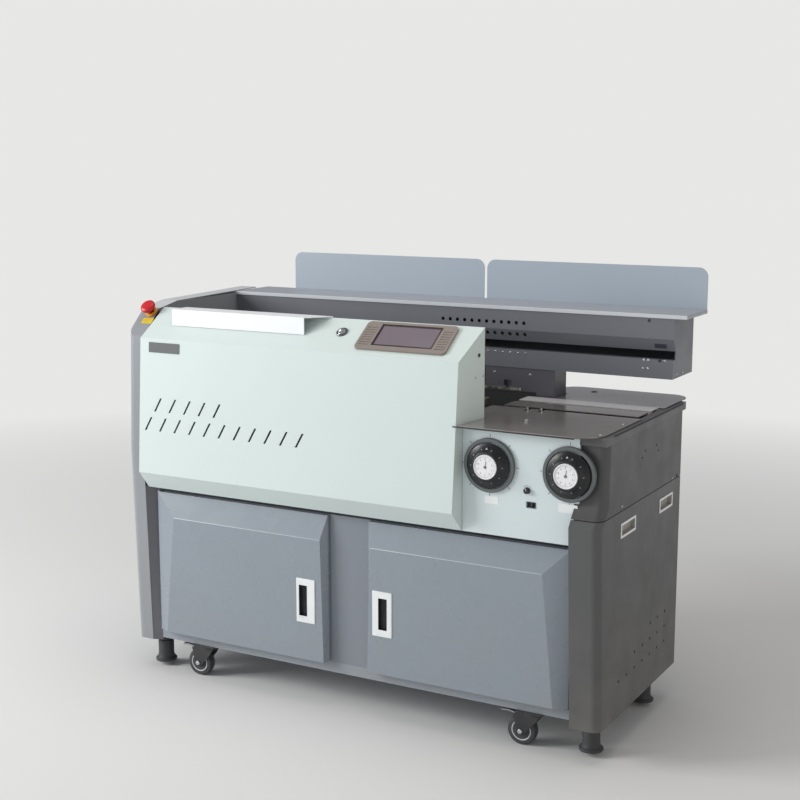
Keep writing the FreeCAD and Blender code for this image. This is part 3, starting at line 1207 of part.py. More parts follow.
def caster(label, place, braked):
    """Swivel fork, wheel and, on the braked ones, the pedal over the wheel."""
    x, y = place
    axle_x = x - d.caster_trail
    fork = new_body("Fork")
    outline = [(x + 24, crown[0] + 4), (x + 24, crown[1] - 3), (x - 26, crown[1] - 3), (axle_x - 20, crown[0] - 3),
               (axle_x - 18, crown[0] - 10), (axle_x - 9, wheel_radius - 9), (axle_x + 9, wheel_radius - 9),
               (x + 8, wheel_radius + 26)]
    pad(fork, "y", (y - leg_inside - d.fork_wall, y - leg_inside), outline)
    pad(fork, "y", (y + leg_inside, y + leg_inside + d.fork_wall), outline)
    crown_disc = rod("z", place, crown, d.caster_plate / 2 - 8)
    axle = rod("y", (axle_x, wheel_radius), (y - leg_inside - d.fork_wall - 3, y + leg_inside + d.fork_wall + 3),
               d.axle_radius)
    bore = rod("z", place, (crown[0] - 1, crown[1] + 1), pin_radius + d.pin_clearance)
    pieces = [fork, crown_disc, axle]
    pin_centre = (axle_x - pedal_pin[0], wheel_radius + pedal_pin[1])
    if braked:
        pieces.append(rod("y", pin_centre, (y - leg_inside - 1, y + leg_inside + 1), 3))
        hub = rod("y", pin_centre, (y - leg_inside + 0.4, y + leg_inside - 0.4), 5)
        lever = new_body("Lever")
        pad(lever, "y", (y - leg_inside + 3, y + leg_inside - 3), [
            (pin_centre[0], pin_centre[1] - 1.5), (pin_centre[0], pin_centre[1] + 2.5),
            (pin_centre[0] - 24, pin_centre[1] + 7), (pin_centre[0] - 42, pin_centre[1] + 5),
            (pin_centre[0] - 42, pin_centre[1] + 1.5), (pin_centre[0] - 24, pin_centre[1] + 3)])
        node(f"{label}_pedal", cut(fuse(hub, lever), rod("y", pin_centre, (y - leg_inside - 1, y + leg_inside + 1),
                                                         3 + d.pin_clearance)))
    node(f"{label}_fork", cut(fuse(*pieces), bore))
    wheel = new_body("Wheel")
    half, r, hub_r = d.tread_width / 2, wheel_radius, d.axle_radius * 3
    bore_r = d.axle_radius + d.pin_clearance
    revolve(wheel, (bore_r, -half - 1), (hub_r, -half - 1), (hub_r, -half + 3), (r * 0.66, -half + 3), (r * 0.7, -half),
            (r - 3, -half), (r, -half + 5), (r, half - 5), (r - 3, half), (r * 0.7, half), (r * 0.66, half - 3),
            (hub_r, half - 3), (hub_r, half + 1), (bore_r, half + 1))
    wheel.Placement = Placement(Vector(), ALONG["y"])
    put(wheel, axle_x, y, wheel_radius)
    node(f"{label}_wheel", group(wheel))


CASTERS = ("front_left_caster", "rear_left_caster", "front_right_caster", "rear_right_caster")
for label, place in zip(CASTERS, caster_places):
    caster(label, place, braked=label.startswith("front"))

FEET = ("front_left_foot", "rear_left_foot", "front_right_foot", "rear_right_foot")
for label, place in zip(FEET, foot_places):
    foot = new_body("Foot")
    low = d.foot_clearance
    revolve(foot, (0, low), (d.foot_radius - 3, low), (d.foot_radius, low + 3), (d.foot_radius, low + 6),
            (d.foot_neck, low + d.foot_height), (d.foot_neck, d.neck_top - 14), (d.foot_neck - 4, d.neck_top - 14),
            (d.foot_neck - 6, d.neck_top), (d.foot_stem, d.neck_top), (d.foot_stem, base_top + 34),
            (d.foot_stem - 1.5, base_top + 36), (0, base_top + 36))
    put(foot, place[0], place[1], 0)
    node(label, group(foot))

# ---------------------------------------------------------------- checks and export

doc.recompute()
failed = [f"{thing.Name} in {[parent.Name for parent in thing.InList]}" for thing in doc.Objects
          if {"Invalid", "Error"} & set(thing.State)]
if failed:
    raise RuntimeError(f"not built: {failed}")
for feature in pockets:
    if not feature.Shape.Volume < feature.BaseFeature.Shape.Volume - 1e-6:
        raise RuntimeError(f"{feature.Name} in {feature.getParent().Name} takes nothing away")
for thing in nodes:
    if thing.Shape.isNull() or not thing.Shape.isValid():
        raise RuntimeError(f"{thing.Label} has no valid shape")

os.makedirs("parts", exist_ok=True)
for thing in nodes:
    thing.Shape.exportStep(f"parts/{thing.Label}.step")
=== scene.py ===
import math

import bpy
from mathutils import Matrix, Vector


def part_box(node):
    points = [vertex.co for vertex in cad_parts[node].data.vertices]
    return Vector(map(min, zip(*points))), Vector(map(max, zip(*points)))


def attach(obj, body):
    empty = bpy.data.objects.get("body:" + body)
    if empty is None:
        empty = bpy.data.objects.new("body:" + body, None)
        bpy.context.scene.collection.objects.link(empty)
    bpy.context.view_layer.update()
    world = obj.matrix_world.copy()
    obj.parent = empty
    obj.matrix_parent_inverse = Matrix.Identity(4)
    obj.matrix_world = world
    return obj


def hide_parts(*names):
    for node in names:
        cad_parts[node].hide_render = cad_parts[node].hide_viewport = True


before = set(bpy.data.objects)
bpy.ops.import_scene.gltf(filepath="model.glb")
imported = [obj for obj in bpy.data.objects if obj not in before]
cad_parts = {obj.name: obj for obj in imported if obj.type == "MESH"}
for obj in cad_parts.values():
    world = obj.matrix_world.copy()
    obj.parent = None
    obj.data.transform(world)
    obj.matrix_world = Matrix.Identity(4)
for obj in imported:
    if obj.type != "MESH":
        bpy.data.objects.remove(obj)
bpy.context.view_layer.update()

# ------------------------------------------------------------------ camera, floor and light
# The machine stands on a wide pale floor that runs into a background of the same tone, under
# one large soft lamp from the left, with weaker ones low in front, from the right and above.

LENS, SENSOR = 63.72, 36
EYE = (1.807, -3.3005, 1.435)
TILT, HEADING = 80.24, 29.09
PALE = (0.80, 0.80, 0.79)
LAMP_AIM = Vector((0, 0, 0.55))

camera_data = bpy.data.cameras.new("camera")
camera_data.lens = LENS
camera_data.sensor_width = SENSOR
camera = bpy.data.objects.new("camera", camera_data)
camera.location = EYE
camera.rotation_euler = (math.radians(TILT), 0, math.radians(HEADING))
bpy.context.scene.collection.objects.link(camera)
bpy.context.scene.camera = camera
bpy.context.scene.view_settings.view_transform = "Standard"


class Wire:
    """A value on its way from one node to the next; a product of two adds its node."""

    def __init__(self, finish, socket):
        self.finish = finish
        self.socket = socket

    def __mul__(self, other):
        return self.finish.node("ShaderNodeMath", {"operation": "MULTIPLY"}, {0: self, 1: other})

    __rmul__ = __mul__


class Finish:
    """A material in the making: its nodes, and the shader that they end in."""

    def __init__(self, name, shader="ShaderNodeBsdfPrincipled"):
        self.material = bpy.data.materials.new(name)
        self.material.use_nodes = True
        self.tree = self.material.node_tree
        self.tree.nodes.clear()
        self.output = self.tree.nodes.new("ShaderNodeOutputMaterial")
        self.shader = self.tree.nodes.new(shader)
        self.tree.links.new(self.shader.outputs[0], self.output.inputs["Surface"])

    def node(self, kind, settings=None, values=None, out=0):
        """Adds a node, makes its settings, then gives its sockets their values or links."""
        made = self.tree.nodes.new(kind)
        for name, setting in (settings or {}).items():
            setattr(made, name, setting)
        for name, value in (values or {}).items():
            self.give(made.inputs[name], value)
        return Wire(self, made.outputs[out])

    def give(self, socket, value):
        """A socket gets a link, a colour or a number."""
        if isinstance(value, Wire):
            self.tree.links.new(value.socket, socket)
        elif socket.type == "RGBA":
            socket.default_value = (*value[:3], 1)
        else:
            socket.default_value = value

    def set(self, **sockets):
        """Sockets of the shader, written with _ for a space."""
        for name, value in sockets.items():
            title = name.replace("_", " ").title().replace("Ior", "IOR")
            self.give(self.shader.inputs[title], value)

    def place(self):
        return self.node("ShaderNodeTexCoord", out="Object")

    def along(self, axis):
        """One coordinate of the place on the object, in metres."""
        split = self.node("ShaderNodeSeparateXYZ", values={0: self.place()})
        return Wire(self, split.socket.node.outputs["xyz".index(axis)])

    def noise(self, scale, detail=3.0, stretch=None, rough=0.5):
        """Cloudy variation from 0 to 1, with so many clouds to the metre."""
        where = self.place()
        if stretch:
            where = self.node("ShaderNodeMapping", values={"Vector": where, "Scale": stretch})
        return self.node("ShaderNodeTexNoise", values={
            "Vector": where, "Scale": scale, "Detail": detail, "Roughness": rough})

    def fade(self, value, start, end, low=0.0, high=1.0):
        """Runs from low to high while the value runs from start to end."""
        return self.node("ShaderNodeMapRange", values={
            "Value": value, "From Min": start, "From Max": end, "To Min": low, "To Max": high})

    def mix(self, share, first, second):
        """A colour between two others."""
        made = self.node("ShaderNodeMix", {"data_type": "RGBA"}, {"Factor": share}, out="Result")
        node = made.socket.node
        for name, value in (("A", first), ("B", second)):
            self.give([s for s in node.inputs if s.name == name and s.type == "RGBA"][0], value)
        return Wire(self, [s for s in node.outputs if s.type == "RGBA"][0])

    def bump(self, height, distance, strength=1.0):
        return self.node("ShaderNodeBump", values={
            "Strength": strength, "Distance": distance, "Height": height}, out="Normal")


def shade(red, green, blue):
    """A colour as a colour card gives it, 0 to 255, made ready for the shader."""
    def linear(level):
        level = level / 255
        return level / 12.92 if level <= 0.04045 else ((level + 0.055) / 1.055) ** 2.4
    return tuple(linear(level) for level in (red, green, blue))


def wear(obj, material):
    """Puts one material on every slot of an object, its own or the frame's."""
    if not obj.data.materials:
        obj.data.materials.append(material)
    for place in obj.material_slots:
        place.material = material
    return obj


def clear():
    """Nothing selected, and back in object mode."""
    if bpy.context.mode != "OBJECT":
        bpy.ops.object.mode_set(mode="OBJECT")
    bpy.ops.object.select_all(action="DESELECT")


clear()
bpy.ops.mesh.primitive_circle_add(vertices=96, radius=30, fill_type="NGON", location=(0, 0, 0))
floor = bpy.context.object
floor.name = "floor"
ground = Finish("pale_floor", "ShaderNodeBsdfDiffuse")
ground.set(color=PALE)
far_away = ground.node("ShaderNodeEmission", values={"Color": PALE, "Strength": 1.0})
reach = ground.node("ShaderNodeVectorMath", {"operation": "LENGTH"}, {0: ground.place()},
                    out="Value")
blend_out = ground.node("ShaderNodeMixShader", values={
    0: ground.fade(reach, 1.6, 4.5), 1: Wire(ground, ground.shader.outputs[0]), 2: far_away})
ground.tree.links.new(blend_out.socket, ground.output.inputs["Surface"])
wear(floor, ground.material)

world = bpy.data.worlds.new("studio")
bpy.context.scene.world = world
world.use_nodes = True
sky = world.node_tree
seen = sky.nodes.new("ShaderNodeLightPath")
shown = sky.nodes.new("ShaderNodeMath")
shown.operation = "MAXIMUM"
sky.links.new(seen.outputs["Is Camera Ray"], shown.inputs[0])
sky.links.new(seen.outputs["Is Transmission Ray"], shown.inputs[1])
pale_sky = sky.nodes.new("ShaderNodeBackground")
pale_sky.inputs["Color"].default_value = (*PALE, 1)
soft_sky = sky.nodes["Background"]
soft_sky.inputs["Color"].default_value = (0.93, 0.96, 1.0, 1)
soft_sky.inputs["Strength"].default_value = 0.33
either = sky.nodes.new("ShaderNodeMixShader")
sky.links.new(shown.outputs[0], either.inputs[0])
sky.links.new(soft_sky.outputs[0], either.inputs[1])
sky.links.new(pale_sky.outputs[0], either.inputs[2])
sky.links.new(either.outputs[0], sky.nodes["World Output"].inputs["Surface"])

for lamp_name, place, size, power, tint in (
        ("key_lamp", (-4.3, -3.0, 2.45), 2.4, 224, (0.99, 0.985, 0.985)),
        ("low_lamp", (-2.2, -4.6, 0.7), 1.8, 16, (0.95, 0.98, 1.0)),
        ("fill_lamp", (4.3, -1.2, 1.7), 2.4, 18, (1.0, 0.87, 0.72)),
        ("top_lamp", (0.2, -0.2, 4.2), 2.6, 40, (1.0, 0.93, 0.88))):
    lamp_data = bpy.data.lights.new(lamp_name, "AREA")
    lamp_data.size = size
    lamp_data.energy = power
    lamp_data.color = tint
    lamp = bpy.data.objects.new(lamp_name, lamp_data)
    lamp.location = place
    lamp.rotation_euler = (Vector(place) - LAMP_AIM).to_track_quat("Z", "Y").to_euler()
    bpy.context.scene.collection.objects.link(lamp)

# ------------------------------------------------------------------ base frame
# A welded frame of square steel tube under the cabinet, powder coated grey. The casters are
# bolted to its underside and the side panels hang outside it.

DUST = shade(150, 142, 128)


def toned(colour, share):
    """A colour made darker or lighter."""
    return [min(channel * share, 1) for channel in colour]


def coated(name, colour, tone=0.035, gloss=0.42, dust=0.25, peel=0.00012):
    """Powder coat: slightly cloudy, fine orange peel, with dust that gathers near the floor."""
    coat = Finish(name)
    cloud = coat.noise(3.2, 4)
    speck = coat.noise(420, 2)
    tinted = coat.mix(cloud, toned(colour, 1 - tone), toned(colour, 1 + tone))
    fine = coat.mix(coat.fade(speck, 0.35, 0.75, 0, 0.10), tinted, toned(colour, 0.72))
    low = coat.fade(coat.along("z"), 0.45, 0.06, 0, dust) * coat.fade(coat.noise(9, 5), 0.35, 0.7)
    coat.set(base_color=coat.mix(low, fine, DUST),
             roughness=coat.fade(coat.noise(14, 3), 0.3, 0.7, gloss - 0.05, gloss + 0.07),
             normal=coat.bump(coat.noise(620, 2), peel, 0.6),
             specular_ior_level=0.4)
    return coat.material


def picked(piece):
    """One piece selected and active, and nothing else selected."""
    clear()
    piece.select_set(True)
    bpy.context.view_layer.objects.active = piece


def applied(piece):
    """Puts a piece's place, turn and size into its mesh."""
    picked(piece)
    bpy.ops.object.transform_apply(location=True, rotation=True, scale=True)
    return piece


def eased(piece, width, steps=2, fold=30):
    """Rounds the edges of the active piece where it folds by more than an angle."""
    rounding = piece.modifiers.new("rounding", "BEVEL")
    rounding.width = width
    rounding.segments = steps
    rounding.limit_method = "ANGLE"
    rounding.angle_limit = math.radians(fold)
    bpy.ops.object.modifier_apply(modifier="rounding")


def finished(obj, body, material=None, smooth=32, flat=False):
    """Places a piece for good: paint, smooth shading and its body."""
    applied(obj)
    bpy.ops.object.shade_smooth_by_angle(angle=math.radians(smooth))
    if flat:
        level = obj.modifiers.new("level_faces", "WEIGHTED_NORMAL")
        level.keep_sharp = True
        bpy.ops.object.modifier_apply(modifier="level_faces")
    if material:
        wear(obj, material)
    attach(obj, body)
    return obj


def dressed(node, body, material, edge, smooth=32):
    """A cover as it leaves the press brake: the node's own shape with small rolled edges."""
    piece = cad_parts[node].copy()
    piece.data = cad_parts[node].data.copy()
    for key in [k for k in piece.keys() if k.startswith("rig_")]:
        del piece[key]
    piece.parent = None
    piece.name = node + "_skin"
    bpy.context.scene.collection.objects.link(piece)
    picked(piece)
    bpy.ops.object.mode_set(mode="EDIT")
    bpy.ops.mesh.select_all(action="SELECT")
    bpy.ops.mesh.remove_doubles(threshold=0.00002)
    bpy.ops.mesh.dissolve_limited(angle_limit=math.radians(0.6))
    bpy.ops.object.mode_set(mode="OBJECT")
    eased(piece, edge, fold=40)
    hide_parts(node)
    return finished(piece, body, material, smooth, flat=True)


# The frame is painted lighter than the doors' grey. This is painted light that offsets the shade
# under the doors.
frame_painted_light = coated("frame_painted_light", shade(150, 157, 165), gloss=0.5)
dressed("base_frame", "cabinet", frame_painted_light, edge=0.0012)

# ------------------------------------------------------------------ casters
# Four swivel casters: black pressed forks, and grey rubber tyres on dark centres with a pale
# ring. Bright nuts hold the axles, and the front pair carries a brake pedal over the wheel.


def plated(name, colour, rough=0.32, cloud_scale=18, grain=(1, 1, 1)):
    """Plated or machined metal; grain gives the direction of its fine lines."""
    metal = Finish(name)
    cloud = metal.noise(cloud_scale, 4)
    lines = metal.noise(260, 3, grain)
    tone = metal.mix(metal.fade(cloud, 0.3, 0.7, 0, 0.55), colour, toned(colour, 0.80))
    fine = metal.fade(lines, 0.4, 0.7, 0, 0.22)
    metal.set(base_color=metal.mix(fine, tone, toned(colour, 0.62)),
              metallic=1.0,
              roughness=metal.fade(lines, 0.3, 0.7, rough - 0.06, rough + 0.10),
              normal=metal.bump(lines, 0.00005, 0.5))
    return metal.material


def moulded(name, colour, rough=0.45, mark=0.00006, scale=900):
    """Moulded plastic or rubber with the fine texture of its mould."""
    plastic = Finish(name)
    cloud = plastic.noise(26, 3)
    plastic.set(base_color=plastic.mix(cloud, toned(colour, 0.93), toned(colour, 1.07)),
                roughness=plastic.fade(plastic.noise(60, 3), 0.3, 0.7, rough - 0.05, rough + 0.07),
                normal=plastic.bump(plastic.noise(scale, 2), mark, 0.6))
    return plastic.material


def span(node):
    """Lowest corner, highest corner and middle of a node."""
    low, high = (Vector(corner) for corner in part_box(node))
    return low, high, (low + high) / 2


def turned(name, rings, steps=64, close=True):
    """A turned shape along z: a circle is drawn out ring by ring, each a radius and a height."""
    clear()
    radius, height = rings[0]
    bpy.ops.mesh.primitive_circle_add(vertices=steps, radius=radius, location=(0, 0, 0))
    piece = bpy.context.object
    piece.name = name
    bpy.ops.object.mode_set(mode="EDIT")
    bpy.ops.mesh.select_all(action="SELECT")
    bpy.ops.transform.translate(value=(0, 0, height))
    if close:
        bpy.ops.mesh.edge_face_add()
    for wide, high in rings[1:]:
        bpy.ops.mesh.extrude_region_move(TRANSFORM_OT_translate={"value": (0, 0, high - height)})
        bpy.ops.transform.resize(value=(wide / radius, wide / radius, 1),
                                 center_override=(0, 0, high))
        radius, height = wide, high
    bpy.ops.mesh.select_all(action="SELECT")
    bpy.ops.mesh.remove_doubles(threshold=0.000005)
    bpy.ops.mesh.normals_make_consistent(inside=False)
    bpy.ops.object.mode_set(mode="OBJECT")
    return piece


def mirrored(rings):
    """The lower half of a profile, with its mirror image above the middle."""
    return rings + [(radius, -height) for radius, height in reversed(rings)]


def faced(piece, place, tilt=90, turn=0):
    """Leans a piece that was made looking up, so that it looks to the front, and moves it there.
    A turn then brings it to the right side (90) or the back (180)."""
    piece.matrix_world = (Matrix.Translation(place) @ Matrix.Rotation(math.radians(turn), 4, "Z")
                          @ Matrix.Rotation(math.radians(tilt), 4, "X"))
    return applied(piece)


def touched(piece, material, where):
    """A second paint on the faces whose middle passes the test."""
    piece.data.materials.append(material)
    place = len(piece.data.materials) - 1
    for face in piece.data.polygons:
        if where(face.center):
            face.material_index = place
    return piece


def twin(piece, name, place=(0, 0, 0)):
    """A copy with its own mesh, moved over by a distance."""
    copy = piece.copy()
    copy.data = piece.data.copy()
    copy.name = name
    bpy.context.scene.collection.objects.link(copy)
    copy.data.transform(Matrix.Translation(place))
    return copy


def joined(pieces, name):
    """Several meshes made one piece, each keeping its own paint."""
    clear()
    for piece in pieces:
        piece.select_set(True)
    bpy.context.view_layer.objects.active = pieces[0]
    bpy.ops.object.join()
    pieces[0].name = name
    return pieces[0]


zinc = plated("zinc_plate", shade(168, 170, 174), 0.4)
tyre = moulded("grey_tyre", shade(68, 69, 72), 0.6, 0.00012, 500)
caster_ring = moulded("caster_ring", shade(226, 228, 230), 0.35)
caster_disc = moulded("caster_disc", shade(54, 56, 60), 0.45)
fork_black = coated("fork_black", shade(54, 55, 58), gloss=0.36, dust=0.12)
axle_steel = plated("axle_steel", shade(226, 227, 229), 0.22)
dressed("caster_plates", "cabinet", fork_black, edge=0.0006)
nut = turned("axle_nut", [
    (0.0064, -0.0004), (0.0068, 0.0006), (0.0066, 0.0022), (0.0056, 0.0036), (0.0034, 0.0042),
    (0.0010, 0.0043)], 24)
wear(nut, axle_steel)
CORNERS = ("front_left", "rear_left", "front_right", "rear_right")
HALF_TYRE, NUT_REACH = 0.0125, 0.0185
for corner in CORNERS:
    wheel_node, fork_node = f"{corner}_caster_wheel", f"{corner}_caster_fork"
    low, high, middle = span(wheel_node)
    radius, edge = (high.z - low.z) / 2, -HALF_TYRE
    band = turned("tyre_band", mirrored([
        (radius * 0.70, edge + 0.0016), (radius * 0.72, edge), (radius - 0.0035, edge),
        (radius - 0.0012, edge + 0.0012), (radius, edge + 0.0045)]), 72)
    wear(band, tyre)
    rim_ring = turned("wheel_centre", mirrored([
        (radius * 0.16, edge - 0.001), (radius * 0.30, edge - 0.001),
        (radius * 0.33, edge + 0.002), (radius * 0.60, edge + 0.003),
        (radius * 0.64, edge + 0.0005), (radius * 0.70, edge + 0.0012)]), 72)
    wear(rim_ring, caster_ring)
    touched(rim_ring, caster_disc,
            lambda place: math.hypot(place.x, place.y) < radius * 0.61)
    wheel = joined([faced(band, middle), faced(rim_ring, middle)], f"{corner}_wheel")
    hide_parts(wheel_node)
    finished(wheel, wheel_node)
    dressed(fork_node, fork_node, fork_black, edge=0.0004)
    nuts = joined([
        faced(twin(nut, "nut"), middle + Vector((0, end * NUT_REACH, 0)), 90, 90 + end * 90)
        for end in (-1, 1)], f"{corner}_axle_nuts")
    finished(nuts, fork_node)
    if corner.startswith("front"):
        pedal_node = f"{corner}_caster_pedal"
        dressed(pedal_node, pedal_node, zinc, edge=0.0005)
bpy.data.objects.remove(nut)

# ------------------------------------------------------------------ levelling feet
# Screw feet: a black rubber pad with a long neck, and a threaded steel stem that is screwed up
# into the base frame, so that the foot takes the weight off the caster beside it.

THREAD_TURNS, THREAD_PITCH = 26, 0.0028

foot_black = moulded("foot_black", shade(64, 65, 67), 0.55)
stem_steel = plated("stem_steel", shade(160, 162, 166), 0.35)
pad = turned("foot_pad", [
    (0.0255, 0.0120), (0.0290, 0.0120), (0.0300, 0.0132), (0.0300, 0.0178), (0.0288, 0.0196),
    (0.0250, 0.0215), (0.0225, 0.0290), (0.0220, 0.0340), (0.0220, 0.0700), (0.0210, 0.0718),
    (0.0180, 0.0722), (0.0162, 0.0840), (0.0150, 0.0860), (0.0080, 0.0860)], 64)
wear(pad, foot_black)
thread = []
for turn in range(THREAD_TURNS):
    thread += [(0.0080, 0.0862 + turn * THREAD_PITCH), (0.0072, 0.0876 + turn * THREAD_PITCH)]
stem = turned("foot_stem", thread + [(0.0070, 0.1605), (0.0062, 0.1610)], 32)
wear(stem, stem_steel)
first_foot = joined([pad, stem], "foot_model")
for corner in CORNERS:
    middle = span(f"{corner}_foot")[2]
    foot = twin(first_foot, f"{corner}_screw_foot", (middle.x, middle.y, 0))
    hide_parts(f"{corner}_foot")
    finished(foot, f"{corner}_foot")
bpy.data.objects.remove(first_foot)

# ------------------------------------------------------------------ side and rear covers
# Folded sheet steel covers, powder coated. The left one has a narrow shoulder for the stop, the
# right one leans in above its knee, and the rear one has two fields of louvre slots.

left_grey = coated("left_cover_grey", shade(148, 152, 156), dust=0.2)
# The right and rear covers get a much darker grey than the left one, as painted shade on faces that
# get little light. The upper right cover's grey is darker still: more painted shade.
side_grey_painted_shade = coated("side_cover_painted_shade", shade(91, 92, 93), dust=0.3)
upper_grey_painted_shade = coated("upper_cover_painted_shade", shade(84, 84, 85), dust=0.0)
return_painted_shade = coated("return_painted_shade", shade(108, 110, 116), dust=0.15)
rim_painted_highlight = coated("rim_painted_highlight", shade(206, 209, 211), dust=0.0)
left_cover = dressed("left_side_panel", "cabinet", left_grey,
                     edge=0.0010, smooth=14)


def on_return(place):
    """The flange that the left cover turns round its front edge, below the housing."""
    return -0.6645 < place.x < -0.640 and place.y < -0.272 and place.z < 0.6


def on_rim(place):
    """The left cover's top edge behind its shoulder."""
    return place.z > 1.0 and place.y > -0.2


# The return is painted darker than the cover's front, as painted shade on a face that turns away
# from the light.
touched(left_cover, return_painted_shade, on_return)
# The top rim is painted near white: a painted highlight where the edge faces up.
touched(left_cover, rim_painted_highlight, on_rim)
dressed("right_side_panel", "cabinet", side_grey_painted_shade, edge=0.0012, smooth=24)
upper_cover = dressed("right_upper_panel", "cabinet", upper_grey_painted_shade,
                      edge=0.0012, smooth=24)


def lifted(piece, under, rise):
    """Raises the lowest edge of a cover a little, so that its seam stays open."""
    picked(piece)
    bpy.ops.object.mode_set(mode="EDIT")
    bpy.ops.mesh.select_mode(type="VERT")
    bpy.ops.mesh.select_all(action="DESELECT")
    bpy.ops.object.mode_set(mode="OBJECT")
    for point in piece.data.vertices:
        point.select = point.co.z < under
    bpy.ops.object.mode_set(mode="EDIT")
    bpy.ops.transform.translate(value=(0, 0, rise))
    bpy.ops.object.mode_set(mode="OBJECT")


SEAM_HEIGHT, SEAM_GAP = 0.6085, 0.0020
lifted(upper_cover, SEAM_HEIGHT, SEAM_GAP)
dressed("rear_panel", "cabinet", side_grey_painted_shade, edge=0.0004)

# ------------------------------------------------------------------ cupboards behind the doors
# Folded sheet steel: the face frame, the deck that closes the cupboards, the electrical box with
# its relays, and the zinc-plated bin that the milled paper falls into.

door_grey = coated("door_grey", shade(144, 153, 162), gloss=0.27, dust=0.2, peel=0.00006)
face_grey = coated("face_frame_grey", shade(134, 140, 149), dust=0.2)
dressed("door_frame", "cabinet", face_grey, edge=0.0004)
deck_grey = coated("deck_grey", shade(118, 121, 125), gloss=0.5, dust=0.1)
dressed("machine_deck", "cabinet", deck_grey, edge=0.0004)
box_grey = coated("box_grey", shade(188, 188, 180), gloss=0.5)
dressed("electrical_box", "cabinet", box_grey, edge=0.0006)
bin_zinc = plated("bin_zinc", shade(172, 175, 178), 0.45, 30)
dressed("waste_bin", "cabinet", bin_zinc, edge=0.0006)

# ------------------------------------------------------------------ milling and gluing stations
# Two grey motors, the milling disc with its teeth, the glue tank crusted with old glue on its
# stand, and two ground steel rollers in it. All are bolted to the deck, under the channel.

motor_grey = coated("motor_grey", shade(92, 98, 106), gloss=0.38, dust=0.0)
dressed("motors", "cabinet", motor_grey, edge=0.0012)
ground_steel = plated("ground_steel", shade(196, 198, 200), 0.27, 22, (1, 12, 1))
dressed("mill_cutter", "mill_cutter", ground_steel, edge=0.0003)
TANK_RIM, BAR_TOP = 0.8425, 0.8505
glued = Finish("glued_metal")
crust = glued.noise(70, 6, rough=0.65)
glued.set(base_color=glued.mix(glued.fade(crust, 0.4, 0.62), shade(104, 103, 94),
                               shade(168, 164, 148)),
          metallic=glued.fade(crust, 0.45, 0.6, 0.8, 0.0),
          roughness=glued.fade(crust, 0.35, 0.7, 0.35, 0.62),
          normal=glued.bump(crust, 0.0012, 0.8))
tank = dressed("glue_tank", "cabinet", glued.material, edge=0.0008)
touched(tank, ground_steel, lambda place: place.z > TANK_RIM)
touched(tank, moulded("knob_dark", shade(36, 36, 38), 0.35), lambda place: place.z > BAR_TOP)
for roller in ("first_glue_roller", "second_glue_roller"):
    dressed(roller, roller, ground_steel, edge=0.0006)

# ------------------------------------------------------------------ front housing
# The pale channel cover: one folded sheet with sixteen leaning louvres cut through its front,
# a folded top edge that slopes back, and a slanted right end.

mint = coated("mint_white", shade(213, 226, 223), tone=0.02, gloss=0.38, dust=0.05)
dressed("front_housing", "cabinet", mint, edge=0.0008)
white = coated("white_coat", shade(245, 247, 249), tone=0.01, gloss=0.4, dust=0.0)
dressed("loading_shelf", "cabinet", white, edge=0.0006)

# Small fittings on the housing: button-head screws on its slanted end, and a bare two-tone
# plate, glued on under the fold at the left. The places are millimetres on the drawing.

MIDDLE_X, MIDDLE_Y = 719, 341.5
FRONT_FOOT, FRONT_RISE = (-7, 587), (23, 366)
END_FOOT, END_RUN = (1026, -7), (22, 129)
FRONT_LEAN = 90 - math.degrees(math.atan2(*FRONT_RISE))
END_TURN = math.degrees(math.atan2(END_RUN[1], END_RUN[0]))
screw_steel = plated("screw_steel", shade(206, 208, 210), 0.24)


def spot(x, y, z):
    """A place on the drawing, in millimetres from the left end, the front line and the floor."""
    return Vector(((x - MIDDLE_X) / 1000, (y - MIDDLE_Y) / 1000, z / 1000))


def capped(piece):
    """Closes the open ends of a turned piece with flat faces."""
    picked(piece)
    bpy.ops.object.mode_set(mode="EDIT")
    bpy.ops.mesh.select_all(action="DESELECT")
    bpy.ops.mesh.select_non_manifold()
    bpy.ops.mesh.edge_face_add()
    bpy.ops.object.mode_set(mode="OBJECT")
    return piece


def screw(radius=0.0030, height=0.0012):
    """A button-head screw that looks up, with a round recess in its head."""
    head = turned("screw", [
        (radius * 0.99, -0.0006), (radius, height * 0.25), (radius * 0.86, height * 0.72),
        (radius * 0.62, height), (radius * 0.44, height), (radius * 0.40, height * 0.35)], 18)
    return wear(capped(head), screw_steel)


def rows(model, name, places, tilt=90, turn=0):
    """Copies of a small fitting at several places of one face, joined to one piece."""
    return joined([faced(twin(model, name), place, tilt, turn) for place in places], name)


def end_place(y, z):
    """A place on the housing's slanted end; y counts from the front line."""
    return spot(END_FOOT[0] + END_RUN[0] * (y - END_FOOT[1]) / END_RUN[1], y, z)


small_screw = screw()
bright_screw = screw(0.0036, 0.0016)
end_screws = rows(small_screw, "housing_end_screws",
                  [end_place(84, 908.2), end_place(115, 908.9)], 90, END_TURN)
finished(end_screws, "cabinet")
end_bolt = wear(screw(0.0050, 0.0020), plated("dark_bolt", shade(96, 96, 98), 0.35))
finished(faced(end_bolt, end_place(98, 961.3), 90, END_TURN), "cabinet")


def front_face(x, z):
    """A place on the housing's leaning front."""
    return spot(x, FRONT_FOOT[0] + FRONT_RISE[0] * (z - FRONT_FOOT[1]) / FRONT_RISE[1], z)


